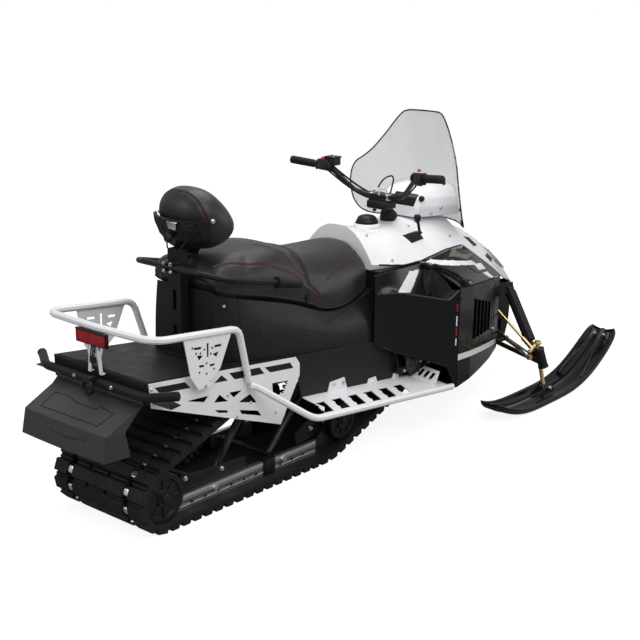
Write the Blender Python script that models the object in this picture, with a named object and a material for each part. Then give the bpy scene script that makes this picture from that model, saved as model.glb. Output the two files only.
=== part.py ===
"""Utility snowmobile, full size, built as separately named solids.

X runs forward, Y to the left and Z up from the ground, in metres.
Section tables give X from the rear idler axle; the vehicle empty moves the
whole machine so that the origin lies on the ground under its middle.
"""

import math

import bmesh
import bpy
from mathutils import Matrix, Vector
from mathutils.geometry import tessellate_polygon

# Overall sizes
REAR_X = -0.285
FRONT_X = 2.900
GAP = 0.0003
FLAT = 0.000002

# Track and slide suspension
TRACK_W = 0.500
BELT_T = 0.015
LUG_H = 0.020
LUG_COUNT = 60
LUG_ROOT = 0.048
LUG_TIP = 0.034
WINDOW_IN = 0.145
WINDOW_OUT = 0.175
WINDOW_L = 0.022
IDLER_R = 0.100
IDLER_Z = LUG_H + BELT_T + IDLER_R
BOW_X = 0.900
BOW_R = 0.300
SPROCKET_X = 1.400
SPROCKET_Z = 0.300
SPROCKET_R = 0.090
CARRIER_X = 0.550
CARRIER_Z = 0.375
CARRIER_R = 0.065
FRONT_WHEEL_X = 1.040
FRONT_WHEEL_R = 0.085
RAIL_Y = TRACK_W / 2 - 0.072
RAIL_T = 0.020
RAIL_H = 0.060
SLIDER_H = 0.001
WHEEL_Y = TRACK_W / 2 - 0.045
WHEEL_W = 0.030
AXLE_R = 0.012
ARM_R = 0.014
ARM_LOW = LUG_H + BELT_T + 0.036
REAR_ARM = ((0.300, ARM_LOW), (CARRIER_X, CARRIER_Z))
FRONT_ARM = ((0.700, ARM_LOW), (0.980, 0.370))

# Tunnel, deck and side plates
TUNNEL_REAR = -0.094
TUNNEL_FRONT = SPROCKET_X + 0.100
TRACK_CLEAR = 0.012
TUNNEL_IN = TRACK_W / 2 + TRACK_CLEAR
TUNNEL_WALL = 0.003
TUNNEL_OUT = TUNNEL_IN + TUNNEL_WALL
DECK_Z = 0.613
DECK_SLOPE = 0.1005
DECK_T = 0.015
MAT_T = 0.003
MAT_X = (-0.086, 0.264)
FLANGE = 0.060
PLATE_T = 0.003
PLATE_FRONT = 0.714

# Running boards
BOARD_T = 0.004
BOARD_OUT = TUNNEL_OUT + 0.195
BOARD_TUBE_R = 0.014
BOARD_INNER_Z = 0.353
BOARD_SLOPE = 0.108
BOARD_CANT = 0.105
BOARD_FRONT = 1.535

# Rack, rear bumper and flap
RACK_TUBE_R = 0.014
RACK_Y = TUNNEL_OUT + 0.035
RACK_Z = 0.772
BUMPER_R = 0.0175
BUMPER_Z = 0.568
FLAP_T = 0.006
LAMP_T = 0.020
BRACKET_T = 0.004

# Seat and backrest
TANK_HALF = TUNNEL_OUT - 0.009
POST_X = 0.305
POST_HALF = 0.035
POST_D = 0.020
BACKREST_LEAN = math.radians(12)
RAIL_TUBE_R = 0.0125
GRAB_Y = TUNNEL_OUT - 0.015
GRAB_Z = 0.935
GRAB_X = 0.262

# Body panels
PANEL_T = 0.005
HULL_T = 0.008
FRAME_FLOOR = 0.2205
SHIELD_T = 0.003
SHIELD_X = 2.020
SHIELD_RAKE = 0.27
SHIELD_BEND = 2.6
POD_CLEAR = 0.0032
LOUVRE_COUNT = 5
LOUVRE_X = 1.800
LOUVRE_PITCH = 0.066
LOUVRE_W = 0.030
LOUVRE_TOP = 0.585
LOUVRE_LOW = 0.395
LOUVRE_WAVE = 0.003
ENGINE = ((SPROCKET_X + 0.180, 2.060), 0.200, (FRAME_FLOOR - GAP, 0.620))
CONSOLE_BASE = 0.782

# Steering and skis
STEER_POINT = (1.620, 0.0, CONSOLE_BASE + 0.188)
STEER_RAKE = math.radians(30)
SHIELD_Z = CONSOLE_BASE + 0.218
BAR_R = 0.011
GRIP_R = 0.0165
KINGPIN_LOW = (2.300, 0.505, 0.120)
KINGPIN_HIGH = (2.262, 0.465, 0.300)
SPINDLE_R = 0.012
KNUCKLE_R = 0.024
SKI_Y = 0.500
TIE_OUTER = (2.208, 0.462, 0.225)
TIE_INNER = (2.400, 0.080, 0.300)
TIE_R = 0.007
ARM_TUBE_R = 0.012
ARM_X = (2.345, 2.435)
ARM_Z = 0.218
STRUT_TOP = (2.405, 0.200, 0.500)
LINK_AT = (2.335, 0.400)
BULKHEAD_Y = 0.170


def material(name, color, roughness, metallic=0.0):
    mat = bpy.data.materials.new(name)
    mat.use_nodes = True
    bsdf = mat.node_tree.nodes["Principled BSDF"]
    bsdf.inputs["Base Color"].default_value = (*color, 1.0)
    bsdf.inputs["Roughness"].default_value = roughness
    bsdf.inputs["Metallic"].default_value = metallic
    return mat


def new_bmesh(verts, faces):
    bm = bmesh.new()
    vs = [bm.verts.new(v) for v in verts]
    for f in faces:
        if len(set(f)) > 2:
            bm.faces.new([vs[i] for i in f])
    bmesh.ops.remove_doubles(bm, verts=bm.verts, dist=1e-6)
    bmesh.ops.recalc_face_normals(bm, faces=bm.faces)
    return bm


def warp(face):
    """How far the corners of a face lie off its plane."""
    return max(abs((v.co - face.verts[0].co).dot(face.normal)) for v in face.verts)


def add(name, bm, look, parent, at=(0, 0, 0), smooth=35):
    """Turn a bmesh into a named object whose origin is at the point given."""
    bm.normal_update()
    warped = [f for f in bm.faces if len(f.verts) > 3 and warp(f) > FLAT]
    bmesh.ops.triangulate(bm, faces=warped, quad_method="FIXED")
    bmesh.ops.translate(bm, verts=bm.verts, vec=-Vector(at))
    mesh = bpy.data.meshes.new(name)
    bm.to_mesh(mesh)
    bm.free()
    obj = bpy.data.objects.new(name, mesh)
    bpy.context.collection.objects.link(obj)
    mesh.materials.append(material(name, *look))
    if smooth:
        mesh.shade_smooth()
        mesh.set_sharp_from_angle(angle=math.radians(smooth))
    obj.parent = parent
    obj.location = Vector(at) - Vector(ORIGINS[parent.name])
    return obj


ORIGINS = {}


def empty(name, at, parent=None):
    obj = bpy.data.objects.new(name, None)
    bpy.context.collection.objects.link(obj)
    if parent is None:
        obj.location = at
        ORIGINS[name] = (0.0, 0.0, 0.0)
    else:
        obj.parent = parent
        obj.location = Vector(at) - Vector(ORIGINS[parent.name])
        ORIGINS[name] = at
    return obj


def loft(rings, closed=False):
    """Bridge equal rings of points, closing the ends with caps or end to end."""
    n = len(rings[0])
    verts = [p for ring in rings for p in ring]
    faces = []
    last = len(rings) if closed else len(rings) - 1
    for i in range(last):
        a, b = i * n, ((i + 1) % len(rings)) * n
        for j in range(n):
            k = (j + 1) % n
            faces.append((a + j, a + k, b + k, b + j))
    if not closed:
        for start in (0, (len(rings) - 1) * n):
            ring = [Vector(p) for p in verts[start:start + n]]
            for tri in tessellate_polygon([ring]):
                faces.append(tuple(start + t for t in tri))
    return new_bmesh(verts, faces)


def plate(outline, holes, place, depth):
    """Extrude a flat outline with holes; place maps (u, v, w) to a point."""
    loops = [outline] + list(holes)
    flat = [p for loop in loops for p in loop]
    tris = tessellate_polygon([[Vector((u, v, 0)) for u, v in loop] for loop in loops])
    n = len(flat)
    verts = [place(u, v, 0.0) for u, v in flat] + [place(u, v, depth) for u, v in flat]
    faces = [tuple(t) for t in tris] + [tuple(n + i for i in reversed(t)) for t in tris]
    start = 0
    for loop in loops:
        m = len(loop)
        for j in range(m):
            a, b = start + j, start + (j + 1) % m
            faces.append((a, b, n + b, n + a))
        start += m
    return new_bmesh(verts, faces)


def heading(line, k):
    """Direction of a line of points at point k, and how much longer a mitre is there."""
    steps = [(b - a).normalized() for a, b in zip(line[max(k - 1, 0):k + 1], line[max(k, 1):k + 2])]
    total = sum(steps, Vector())
    return total.normalized(), len(steps) / total.length


def shell(grid, depth):
    """Thicken a grid of points along its own normals, inward if depth is negative."""
    rows, cols = len(grid), len(grid[0])
    pts = [[Vector(p) for p in row] for row in grid]
    back = []
    for i in range(rows):
        row = []
        for j in range(cols):
            du, along = heading([line[j] for line in pts], i)
            dv, across = heading(pts[i], j)
            row.append(pts[i][j] + du.cross(dv).normalized() * depth * along * across)
        back.append(row)
    verts = [p for row in pts for p in row] + [p for row in back for p in row]
    n = rows * cols
    faces = []
    for i in range(rows - 1):
        for j in range(cols - 1):
            a = i * cols + j
            quad = (a, a + 1, a + cols + 1, a + cols)
            faces.append(quad)
            faces.append(tuple(n + quad[k] for k in (0, 3, 2, 1)))
    rim = [j for j in range(cols)]
    rim += [i * cols + cols - 1 for i in range(1, rows)]
    rim += [(rows - 1) * cols + j for j in range(cols - 2, -1, -1)]
    rim += [i * cols for i in range(rows - 2, 0, -1)]
    for a, b in zip(rim, rim[1:] + rim[:1]):
        faces.append((b, a, n + a, n + b))
    return new_bmesh(verts, faces)


def rounded(points, radius, steps=4):
    """Round the corners of an open path."""
    pts = [Vector(p) for p in points]
    out = [pts[0]]
    for a, b, c in zip(pts, pts[1:], pts[2:]):
        u, v = (a - b).normalized(), (c - b).normalized()
        half = u.angle(v) / 2
        if half > math.radians(88):
            out.append(b)
            continue
        reach = min(radius / math.tan(half), (a - b).length * 0.48, (c - b).length * 0.48)
        centre = b + (u + v).normalized() * reach / math.cos(half)
        p, q = b + u * reach - centre, b + v * reach - centre
        turn = p.angle(q)
        for k in range(steps + 1):
            w = k / steps
            arc = p * math.sin((1 - w) * turn) + q * math.sin(w * turn)
            out.append(centre + arc / math.sin(turn))
    out.append(pts[-1])
    return out


def tube(path, radius, sides=8, radii=None):
    """Sweep a circle along a path, with flat ends."""
    pts = [Vector(p) for p in path]
    dirs = []
    for i in range(len(pts)):
        a = (pts[i] - pts[i - 1]).normalized() if i else Vector((0, 0, 0))
        b = (pts[i + 1] - pts[i]).normalized() if i + 1 < len(pts) else Vector((0, 0, 0))
        dirs.append((a + b).normalized())
    side = dirs[0].orthogonal().normalized()
    rings = []
    for i, (p, d) in enumerate(zip(pts, dirs)):
        side = (side - d * side.dot(d)).normalized()
        up = d.cross(side)
        r = radii[i] if radii else radius
        ring = []
        for k in range(sides):
            t = 2 * math.pi * (k + 0.5) / sides
            ring.append(p + side * (r * math.cos(t)) + up * (r * math.sin(t)))
        rings.append(ring)
    return loft(rings)


def lathe(profile, centre, sides=18, axis="Y"):
    """Turn a profile of (distance along the axis, radius) pairs into a solid."""
    rings = []
    for along, r in profile:
        ring = []
        for k in range(sides):
            t = 2 * math.pi * k / sides
            p = (r * math.cos(t), along, r * math.sin(t))
            if axis == "X":
                p = (along, r * math.cos(t), r * math.sin(t))
            if axis == "Z":
                p = (r * math.cos(t), r * math.sin(t), along)
            ring.append(Vector(p) + Vector(centre))
        rings.append(ring)
    return loft(rings)


def block(x, y, z):
    verts = [(a, b, c) for c in z for b in y for a in x]
    faces = [(0, 1, 3, 2), (4, 6, 7, 5), (0, 4, 5, 1), (2, 3, 7, 6), (0, 2, 6, 4), (1, 5, 7, 3)]
    return new_bmesh(verts, faces)


def combine(first, others, operation):
    """Join or cut the first solid with each of the others in turn."""
    target = bpy.data.objects.new("work", bpy.data.meshes.new("work"))
    bpy.context.collection.objects.link(target)
    first.to_mesh(target.data)
    first.free()
    tools = []
    for bm in others:
        tool = bpy.data.objects.new("tool", bpy.data.meshes.new("tool"))
        bpy.context.collection.objects.link(tool)
        bm.to_mesh(tool.data)
        bm.free()
        mod = target.modifiers.new("Boolean", "BOOLEAN")
        mod.operation = operation
        mod.object = tool
        tools.append(tool)
    bpy.context.view_layer.update()
    graph = bpy.context.evaluated_depsgraph_get()
    out = bmesh.new()
    out.from_mesh(target.evaluated_get(graph).to_mesh())
    for obj in [target] + tools:
        bpy.data.objects.remove(obj)
    bmesh.ops.remove_doubles(out, verts=out.verts, dist=1e-6)
    bmesh.ops.dissolve_degenerate(out, edges=out.edges, dist=1e-6)
    bmesh.ops.triangulate(out, faces=[f for f in out.faces if len(f.verts) > 4])
    return out


def join(first, *others):
    return combine(first, others, "UNION")


def cut(first, *others):
    return combine(first, others, "DIFFERENCE")


def table(rows, x, column):
    """Read a column of a section table at x, straight between its rows."""
    for a, b in zip(rows, rows[1:]):
        if x <= b[0] or b is rows[-1]:
            w = (x - a[0]) / (b[0] - a[0])
            return a[column] + (b[column] - a[column]) * min(max(w, 0.0), 1.0)


def deck_z(x):
    return DECK_Z - DECK_SLOPE * (x - TUNNEL_REAR)


def board_z(x, y):
    return BOARD_INNER_Z - BOARD_SLOPE * (x - PLATE_FRONT) - BOARD_CANT * (abs(y) - TUNNEL_OUT)


for old in list(bpy.data.objects):
    bpy.data.objects.remove(old)

WHITE = ((0.85, 0.85, 0.86), 0.30)
BLACK = ((0.012, 0.012, 0.013), 0.35)
SATIN = ((0.020, 0.020, 0.022), 0.55)
RUBBER = ((0.012, 0.012, 0.012), 0.80)
STEEL = ((0.55, 0.55, 0.56), 0.30, 1.0)
GOLD = ((0.62, 0.45, 0.16), 0.30, 1.0)
LEATHER = ((0.014, 0.013, 0.013), 0.50)

middle = (REAR_X + FRONT_X) / 2
vehicle = empty("vehicle", (-middle, 0, 0))


# Track: one belt loop with transverse lugs, wrapped round the wheel circles
def wrap(circles):
    """Arcs and straight runs round circles taken counter-clockwise seen from the right."""
    runs = []
    count = len(circles)
    tangents = []
    for i in range(count):
        x0, z0, r0 = circles[i]
        x1, z1, r1 = circles[(i + 1) % count]
        dist = math.hypot(x1 - x0, z1 - z0)
        heading = math.atan2(z1 - z0, x1 - x0)
        tangents.append(heading - math.pi / 2 - math.asin((r1 - r0) / dist))
    for i in range(count):
        x, z, r = circles[i]
        start, end = tangents[i - 1], tangents[i]
        while end < start:
            end += 2 * math.pi
        runs.append(("arc", x, z, r, start, end))
        nx, nz, nr = circles[(i + 1) % count]
        a = (x + r * math.cos(end), z + r * math.sin(end))
        b = (nx + nr * math.cos(end), nz + nr * math.sin(end))
        runs.append(("run", a, b, end))
    return runs


def run_length(run):
    if run[0] == "arc":
        return run[3] * (run[5] - run[4])
    return math.dist(run[1], run[2])


def on_path(runs, s, lift):
    """Point of the belt line at arc length s, lifted outward."""
    for run in runs:
        length = run_length(run)
        if s <= length:
            break
        s -= length
    if run[0] == "arc":
        t = run[4] + s / run[3]
        r = run[3] + lift
        return (run[1] + r * math.cos(t), run[2] + r * math.sin(t))
    w = s / run_length(run)
    x = run[1][0] + (run[2][0] - run[1][0]) * w + lift * math.cos(run[3])
    z = run[1][1] + (run[2][1] - run[1][1]) * w + lift * math.sin(run[3])
    return (x, z)


belt_runs = wrap([
    (0.0, IDLER_Z, IDLER_R),
    (BOW_X, LUG_H + BELT_T + BOW_R, BOW_R),
    (SPROCKET_X, SPROCKET_Z, SPROCKET_R),
    (CARRIER_X, CARRIER_Z, CARRIER_R),
])
belt_length = sum(run_length(run) for run in belt_runs)
pitch = belt_length / LUG_COUNT
belt_facet = pitch - WINDOW_L


def belt():
    """Loop of lug bars in three lengths across, with a window in each gap of the two rows."""
    columns = (-TRACK_W / 2, -WINDOW_OUT, -WINDOW_IN, WINDOW_IN, WINDOW_OUT, TRACK_W / 2)
    stations = {
        # offset along the belt from the middle of the lug, lift from the inner face
        "low_a": (-belt_facet / 2, 0.0),
        "low_b": (belt_facet / 2, 0.0),
        "root_a": (-LUG_ROOT / 2, BELT_T),
        "top_a": (-belt_facet / 2, BELT_T),
        "top_b": (belt_facet / 2, BELT_T),
        "root_b": (LUG_ROOT / 2, BELT_T),
        "tip_a": (-LUG_TIP / 2, BELT_T + LUG_H),
        "tip_b": (LUG_TIP / 2, BELT_T + LUG_H),
    }
    verts, faces, index = [], [], {}

    def at(lug, column, station):
        key = (lug % LUG_COUNT, column, station)
        if key not in index:
            offset, lift = stations[station]
            x, z = on_path(belt_runs, ((key[0] + 0.5) * pitch + offset) % belt_length, lift)
            index[key] = len(verts)
            verts.append((x, columns[column], z))
        return index[key]

    for k in range(LUG_COUNT):
        nxt = k + 1
        for c in range(5):
            lugged = c % 2 == 0
            strips = [(k, "low_a", k, "low_b")]
            if lugged:
                strips += [
                    (k, "low_b", nxt, "low_a"), (k, "root_a", k, "tip_a"), (k, "tip_a", k, "tip_b"),
                    (k, "tip_b", k, "root_b"), (k, "root_b", nxt, "root_a"),
                ]
            else:
                strips += [(k, "top_a", k, "top_b"), (k, "top_b", k, "low_b"), (k, "top_a", k, "low_a")]
            for m, a, n, b in strips:
                faces.append((at(m, c, a), at(m, c + 1, a), at(n, c + 1, b), at(n, c, b)))
        for c in (1, 2, 3, 4):
            for a, b, d in (("root_a", "tip_a", "top_a"), ("top_a", "tip_a", "tip_b"),
                            ("top_a", "tip_b", "top_b"), ("top_b", "tip_b", "root_b"),
                            ("top_b", "root_b", "low_b")):
                faces.append((at(k, c, a), at(k, c, b), at(k, c, d)))
            faces.append((at(k, c, "root_b"), at(nxt, c, "root_a"), at(k, c, "low_b")))
            faces.append((at(nxt, c, "root_a"), at(nxt, c, "low_a"), at(k, c, "low_b")))
            faces.append((at(nxt, c, "root_a"), at(nxt, c, "top_a"), at(nxt, c, "low_a")))
        for c in (0, 5):
            for a, b, d in (("root_a", "tip_a", "low_a"), ("tip_a", "tip_b", "low_a"),
                            ("tip_b", "low_b", "low_a"), ("tip_b", "root_b", "low_b")):
                faces.append((at(k, c, a), at(k, c, b), at(k, c, d)))
            faces.append((at(k, c, "root_b"), at(nxt, c, "root_a"), at(nxt, c, "low_a"), at(k, c, "low_b")))
    return new_bmesh(verts, faces)


add("track", belt(), RUBBER, vehicle, smooth=0)

# Wheels: each pair with its axle is one turned solid
ramp = belt_runs[3]
ramp_angle = math.atan2(ramp[2][1] - ramp[1][1], ramp[2][0] - ramp[1][0])


def above_ramp(x, r):
    """Height of a wheel centre at x that rests on the rising run."""
    foot = ramp[1][1] + (x - ramp[1][0]) * math.tan(ramp_angle)
    return foot + r / math.cos(ramp_angle)


FRONT_WHEEL_Z = above_ramp(FRONT_WHEEL_X, FRONT_WHEEL_R)


def wheel_pair(radius, inner, width, axle, reach, dished=True):
    """Profile of two wheels on an axle, from one end to the other, inside the belt's flat facets."""
    r = radius * math.cos(belt_facet / 2 / radius) - GAP
    face = inner + width
    half = [(reach, axle), (face, axle), (face, r), (inner, r), (inner, axle)]
    if dished:
        half = [
            (reach, axle),
            (face, axle),
            (face, radius * 0.32),
            (face - 0.006, radius * 0.36),
            (face - 0.006, radius * 0.74),
            (face, radius * 0.80),
            (face, r),
            (inner, r),
            (inner, axle),
        ]
    return [(-a, b) for a, b in half] + [(a, b) for a, b in reversed(half)]


WHEELS = (
    # node, x, z, radius, inner face, width, axle end
    ("rear_idler_wheels", 0.0, IDLER_Z, IDLER_R, WHEEL_Y, WHEEL_W, WHEEL_Y + WHEEL_W + 0.008),
    ("front_idler_wheels", FRONT_WHEEL_X, FRONT_WHEEL_Z, FRONT_WHEEL_R, WHEEL_Y, WHEEL_W,
     WHEEL_Y + WHEEL_W + 0.008),
    ("drive_sprockets", SPROCKET_X, SPROCKET_Z, SPROCKET_R, 0.085, 0.040, TUNNEL_IN - GAP),
)
for node, x, z, radius, inner, width, reach in WHEELS:
    profile = wheel_pair(radius, inner, width, AXLE_R, reach, node != "drive_sprockets")
    add(node, lathe(profile, (x, 0, z), 14), BLACK, vehicle, at=(x, 0, z))

# Slide rails: two bowed rails with the arms that carry them under the tunnel
slider_z = IDLER_Z - IDLER_R + SLIDER_H
rail_low = [(-0.035, slider_z + 0.030), (-0.010, slider_z + 0.010), (0.060, slider_z), (BOW_X, slider_z)]
for k in range(1, 5):
    t = -math.pi / 2 + ramp_angle * k / 4
    r = BOW_R - SLIDER_H
    rail_low.append((BOW_X + r * math.cos(t), LUG_H + BELT_T + BOW_R + r * math.sin(t)))
tip_x = FRONT_WHEEL_X + 0.060
rail_low.append((tip_x, ramp[1][1] + (tip_x - ramp[1][0]) * math.tan(ramp_angle) + SLIDER_H * 2))
rail_high = [
    (tip_x - 0.02, FRONT_WHEEL_Z + 0.045),
    (FRONT_WHEEL_X - 0.02, FRONT_WHEEL_Z + 0.035),
    (BOW_X, slider_z + RAIL_H),
    (0.060, slider_z + RAIL_H),
    (0.000, IDLER_Z + 0.030),
    (-0.035, IDLER_Z + 0.020),
]


def circle_points(x, z, r, sides=12):
    return [
        (x + r * math.cos(2 * math.pi * k / sides), z + r * math.sin(2 * math.pi * k / sides))
        for k in range(sides)
    ]


def rail(side):
    holes = [
        circle_points(0.0, IDLER_Z, AXLE_R / math.cos(math.pi / 12) + GAP),
        circle_points(FRONT_WHEEL_X, FRONT_WHEEL_Z, AXLE_R / math.cos(math.pi / 12) + GAP),
    ]
    return plate(
        rail_low + rail_high,
        holes,
        lambda u, v, w: (u, side * (RAIL_Y + w), v),
        RAIL_T,
    )


def arm(low, high, leg_y, low_half, high_half):
    """Cross tubes at the rails and at the tunnel, joined by two legs."""
    legs = [tube([(low[0], s * leg_y, low[1]), (high[0], s * leg_y, high[1])], ARM_R) for s in (-1, 1)]
    cross_low = tube([(low[0], -low_half, low[1]), (low[0], low_half, low[1])], ARM_R * 0.9, 12)
    cross_high = tube([(high[0], -high_half, high[1]), (high[0], high_half, high[1])], ARM_R, 12)
    return [cross_low, cross_high] + legs


low_half = RAIL_Y + RAIL_T + 0.006
pieces = [rail(-1)]
pieces += arm(*REAR_ARM, 0.150, low_half, TUNNEL_OUT - GAP)
pieces += arm(*FRONT_ARM, 0.110, low_half, TUNNEL_IN - GAP)
pieces.append(rail(1))
rollers = wheel_pair(CARRIER_R, 0.085, 0.030, ARM_R * 0.9, 0.160, False)
pieces.append(lathe(rollers, (CARRIER_X, 0, CARRIER_Z), 12))
add("slide_rails", join(pieces[0], *pieces[1:]), STEEL, vehicle)

# Tunnel: channel with a flat load deck, short rear flanges and full front walls
WALL = (
    # x, bottom of the wall below the deck line
    (TUNNEL_REAR, FLANGE),
    (0.700, FLANGE),
    (0.730, deck_z(0.730) - board_z(0.730, TUNNEL_OUT) + 0.002),
    (TUNNEL_FRONT, deck_z(TUNNEL_FRONT) - board_z(TUNNEL_FRONT, TUNNEL_OUT) + 0.002),
)
rings = []
for x, drop in WALL:
    top = deck_z(x)
    rings.append([
        (x, -TUNNEL_OUT, top),
        (x, TUNNEL_OUT, top),
        (x, TUNNEL_OUT, top - drop),
        (x, TUNNEL_IN, top - drop),
        (x, TUNNEL_IN, top - DECK_T),
        (x, -TUNNEL_IN, top - DECK_T),
        (x, -TUNNEL_IN, top - drop),
        (x, -TUNNEL_OUT, top - drop),
    ])
rear_panel = block((TUNNEL_REAR, TUNNEL_REAR + 0.004), (-TUNNEL_IN - 0.001, TUNNEL_IN + 0.001),
                   (0.530, DECK_Z - 0.004))
mat_half = TUNNEL_IN - 0.008
mat = loft([
    [(x, -mat_half, deck_z(x) - 0.002), (x, mat_half, deck_z(x) - 0.002),
     (x, mat_half, deck_z(x) + MAT_T), (x, -mat_half, deck_z(x) + MAT_T)]
    for x in MAT_X
])
add("tunnel", join(loft(rings), rear_panel, mat), SATIN, vehicle, smooth=0)

# Side plates: pierced plates outside the tunnel; cut-outs as (x, depth below the deck line)
PLATE_OUTLINE = [
    (TUNNEL_REAR, 0.000), (0.690, 0.000), (PLATE_FRONT, 0.030), (PLATE_FRONT, 0.080), (0.602, 0.273),
    (-0.084, 0.092),
]
PLATE_HOLES = [
    [(-0.067, 0.017), (0.082, 0.017), (0.110, 0.044), (-0.040, 0.044)],
    [(0.166, 0.021), (0.205, 0.021), (0.163, 0.045)],
    [(0.228, 0.044), (0.268, 0.017), (0.304, 0.044)],
    [(0.309, 0.015), (0.478, 0.015), (0.506, 0.045), (0.340, 0.045)],
    [(0.506, 0.019), (0.657, 0.019), (0.677, 0.045), (0.539, 0.045)],
    [(0.085, 0.092), (0.202, 0.088), (0.177, 0.110)],
    [(0.227, 0.120), (0.257, 0.093), (0.303, 0.127)],
    [(0.309, 0.093), (0.382, 0.093), (0.334, 0.117)],
    [(0.360, 0.140), (0.424, 0.115), (0.462, 0.157)],
    [(0.550, 0.091), (0.647, 0.093), (0.618, 0.142), (0.556, 0.152)],
    [(0.231, 0.150), (0.298, 0.162), (0.303, 0.173), (0.251, 0.165)],
    [(0.365, 0.172), (0.468, 0.192), (0.490, 0.217), (0.376, 0.190)],
]
for side, node in ((-1, "side_plate_right"), (1, "side_plate_left")):
    inner = TUNNEL_OUT + GAP
    bm = plate(
        PLATE_OUTLINE,
        PLATE_HOLES,
        lambda u, v, w: (u, side * (inner + w), deck_z(u) - v),
        PLATE_T,
    )
    add(node, bm, WHITE, vehicle, smooth=0)

# Running boards: slotted plate with a rolled tube along its outer edge
SLOTS = (0.730, 0.835, 0.940, 1.045, 1.150, 1.255)
plate_in = TUNNEL_OUT + GAP
plate_out = TUNNEL_OUT + GAP + PLATE_T


def on_board(side, drop):
    return lambda u, v, w: (u, side * v, board_z(u, v) - drop - w)


TEETH = 2
SLOT_L = 0.058
SLOT_Y = (TUNNEL_OUT + 0.070, TUNNEL_OUT + 0.167)
SLOT_SKEW = 0.048
TABS = (
    # x, length, height of the lug that bolts to the tunnel wall
    (0.889, 0.134, 0.055),
    (1.161, 0.072, 0.028),
    (1.345, 0.050, 0.026),
)


def slot(x):
    """Slanted opening whose rear edge is cut into teeth."""
    rear = [(x, SLOT_Y[0])]
    for t in range(TEETH):
        for w, bite in ((0.30, 0.000), (0.55, 0.007), (0.95, 0.000)):
            w = (t + w) / TEETH
            rear.append((x - SLOT_SKEW * w + bite, SLOT_Y[0] + (SLOT_Y[1] - SLOT_Y[0]) * w))
    rear.append((x - SLOT_SKEW, SLOT_Y[1]))
    return rear + [(x + SLOT_L - SLOT_SKEW, SLOT_Y[1]), (x + SLOT_L, SLOT_Y[0])]


for side, node in ((-1, "running_board_right"), (1, "running_board_left")):
    outline = [
        (0.735, plate_in), (BOARD_FRONT - 0.04, plate_in), (BOARD_FRONT, plate_in + 0.065),
        (BOARD_FRONT, BOARD_OUT - 0.005), (0.650, BOARD_OUT - 0.005), (0.735, plate_in + 0.120),
    ]
    sheet = plate(outline, [slot(x) for x in SLOTS], on_board(side, 0.0), BOARD_T)
    foot_y = plate_out + BOARD_TUBE_R + GAP
    path = rounded(
        [
            (0.405, side * foot_y, 0.487),
            (0.430, side * (foot_y + 0.010), 0.480),
            (0.590, side * BOARD_OUT, board_z(0.590, BOARD_OUT) - 0.002),
            (BOARD_FRONT + 0.005, side * BOARD_OUT, board_z(BOARD_FRONT + 0.005, BOARD_OUT) - 0.002),
        ],
        0.080,
        3,
    )
    extras = [tube(path, BOARD_TUBE_R)]
    for x, length, height in TABS:
        foot = board_z(x + length, plate_in) - BOARD_T / 2
        outline = [(x, foot), (x + length, foot), (x + length * 0.85, foot + height),
                   (x + length * 0.15, foot + height)]
        extras.append(plate(outline, [], lambda u, v, w: (u, side * (plate_in + w), v), BOARD_T))
    # Toe plate: short rising plate with three slots at the front of the board
    toe = [(plate_in + y, z) for y, z in ((0.025, 0.0), (0.160, 0.0), (0.145, 0.055), (0.045, 0.055))]
    toe_slots = [[(plate_in + y, 0.016), (plate_in + y + 0.016, 0.016), (plate_in + y + 0.024, 0.044),
                  (plate_in + y + 0.008, 0.044)] for y in (0.050, 0.080, 0.110)]
    extras.append(plate(
        toe,
        toe_slots,
        lambda u, v, w: (1.455 + v - w, side * u, board_z(1.455, u) - BOARD_T / 2 + v * 0.95),
        BOARD_T,
    ))
    add(node, join(sheet, *extras), WHITE, vehicle)

# Rack: one bent hoop with pierced side panels and the lamp bracket
leg_y = plate_out + RACK_TUBE_R + GAP
hoop = []
for s in (-1, 1):
    half = [
        (0.402, s * leg_y, 0.505),
        (0.330, s * (RACK_Y - 0.002), 0.735),
        (-0.060, s * RACK_Y, RACK_Z),
        (-0.100, s * (RACK_Y - 0.045), RACK_Z + 0.004),
        (-0.112, 0, RACK_Z + 0.004),
    ]
    hoop += half[:4] + [half[4]] if s < 0 else list(reversed(half[:4]))
hoop_path = rounded(hoop, 0.055, 3)
rack_parts = [tube(hoop_path, RACK_TUBE_R)]
RACK_PANEL = [(0.046, 0.752), (0.290, 0.732), (0.229, 0.605), (0.186, 0.570), (0.119, 0.545), (0.080, 0.600)]
for side in (-1, 1):
    panel = plate(
        RACK_PANEL,
        [
            [(0.095, 0.712), (0.135, 0.708), (0.134, 0.698), (0.096, 0.702)],
            [(0.200, 0.700), (0.240, 0.697), (0.236, 0.687), (0.200, 0.690)],
            [(0.160, 0.715), (0.172, 0.714), (0.171, 0.660), (0.161, 0.662)],
            [(0.110, 0.680), (0.145, 0.672), (0.122, 0.655)],
            [(0.190, 0.668), (0.225, 0.672), (0.212, 0.650)],
            [(0.120, 0.640), (0.150, 0.636), (0.148, 0.627), (0.122, 0.630)],
            [(0.175, 0.632), (0.205, 0.629), (0.200, 0.620), (0.176, 0.622)],
        ],
        lambda u, v, w: (u, side * (RACK_Y - 0.002 + w), v),
        0.004,
    )
    foot = block((0.120, 0.186), sorted((side * plate_out, side * (RACK_Y + 0.002))), (0.546, 0.560))
    bmesh.ops.translate(foot, verts=foot.verts, vec=(0, side * GAP, 0))
    rack_parts += [panel, foot]
bracket = [
    # distance from the middle, height
    (-0.055, RACK_Z), (0.055, RACK_Z), (0.052, 0.715), (0.034, 0.664), (0.040, 0.600), (0.024, 0.600),
    (0.016, 0.655), (-0.016, 0.655), (-0.024, 0.600), (-0.040, 0.600), (-0.034, 0.664), (-0.052, 0.715),
]
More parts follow.
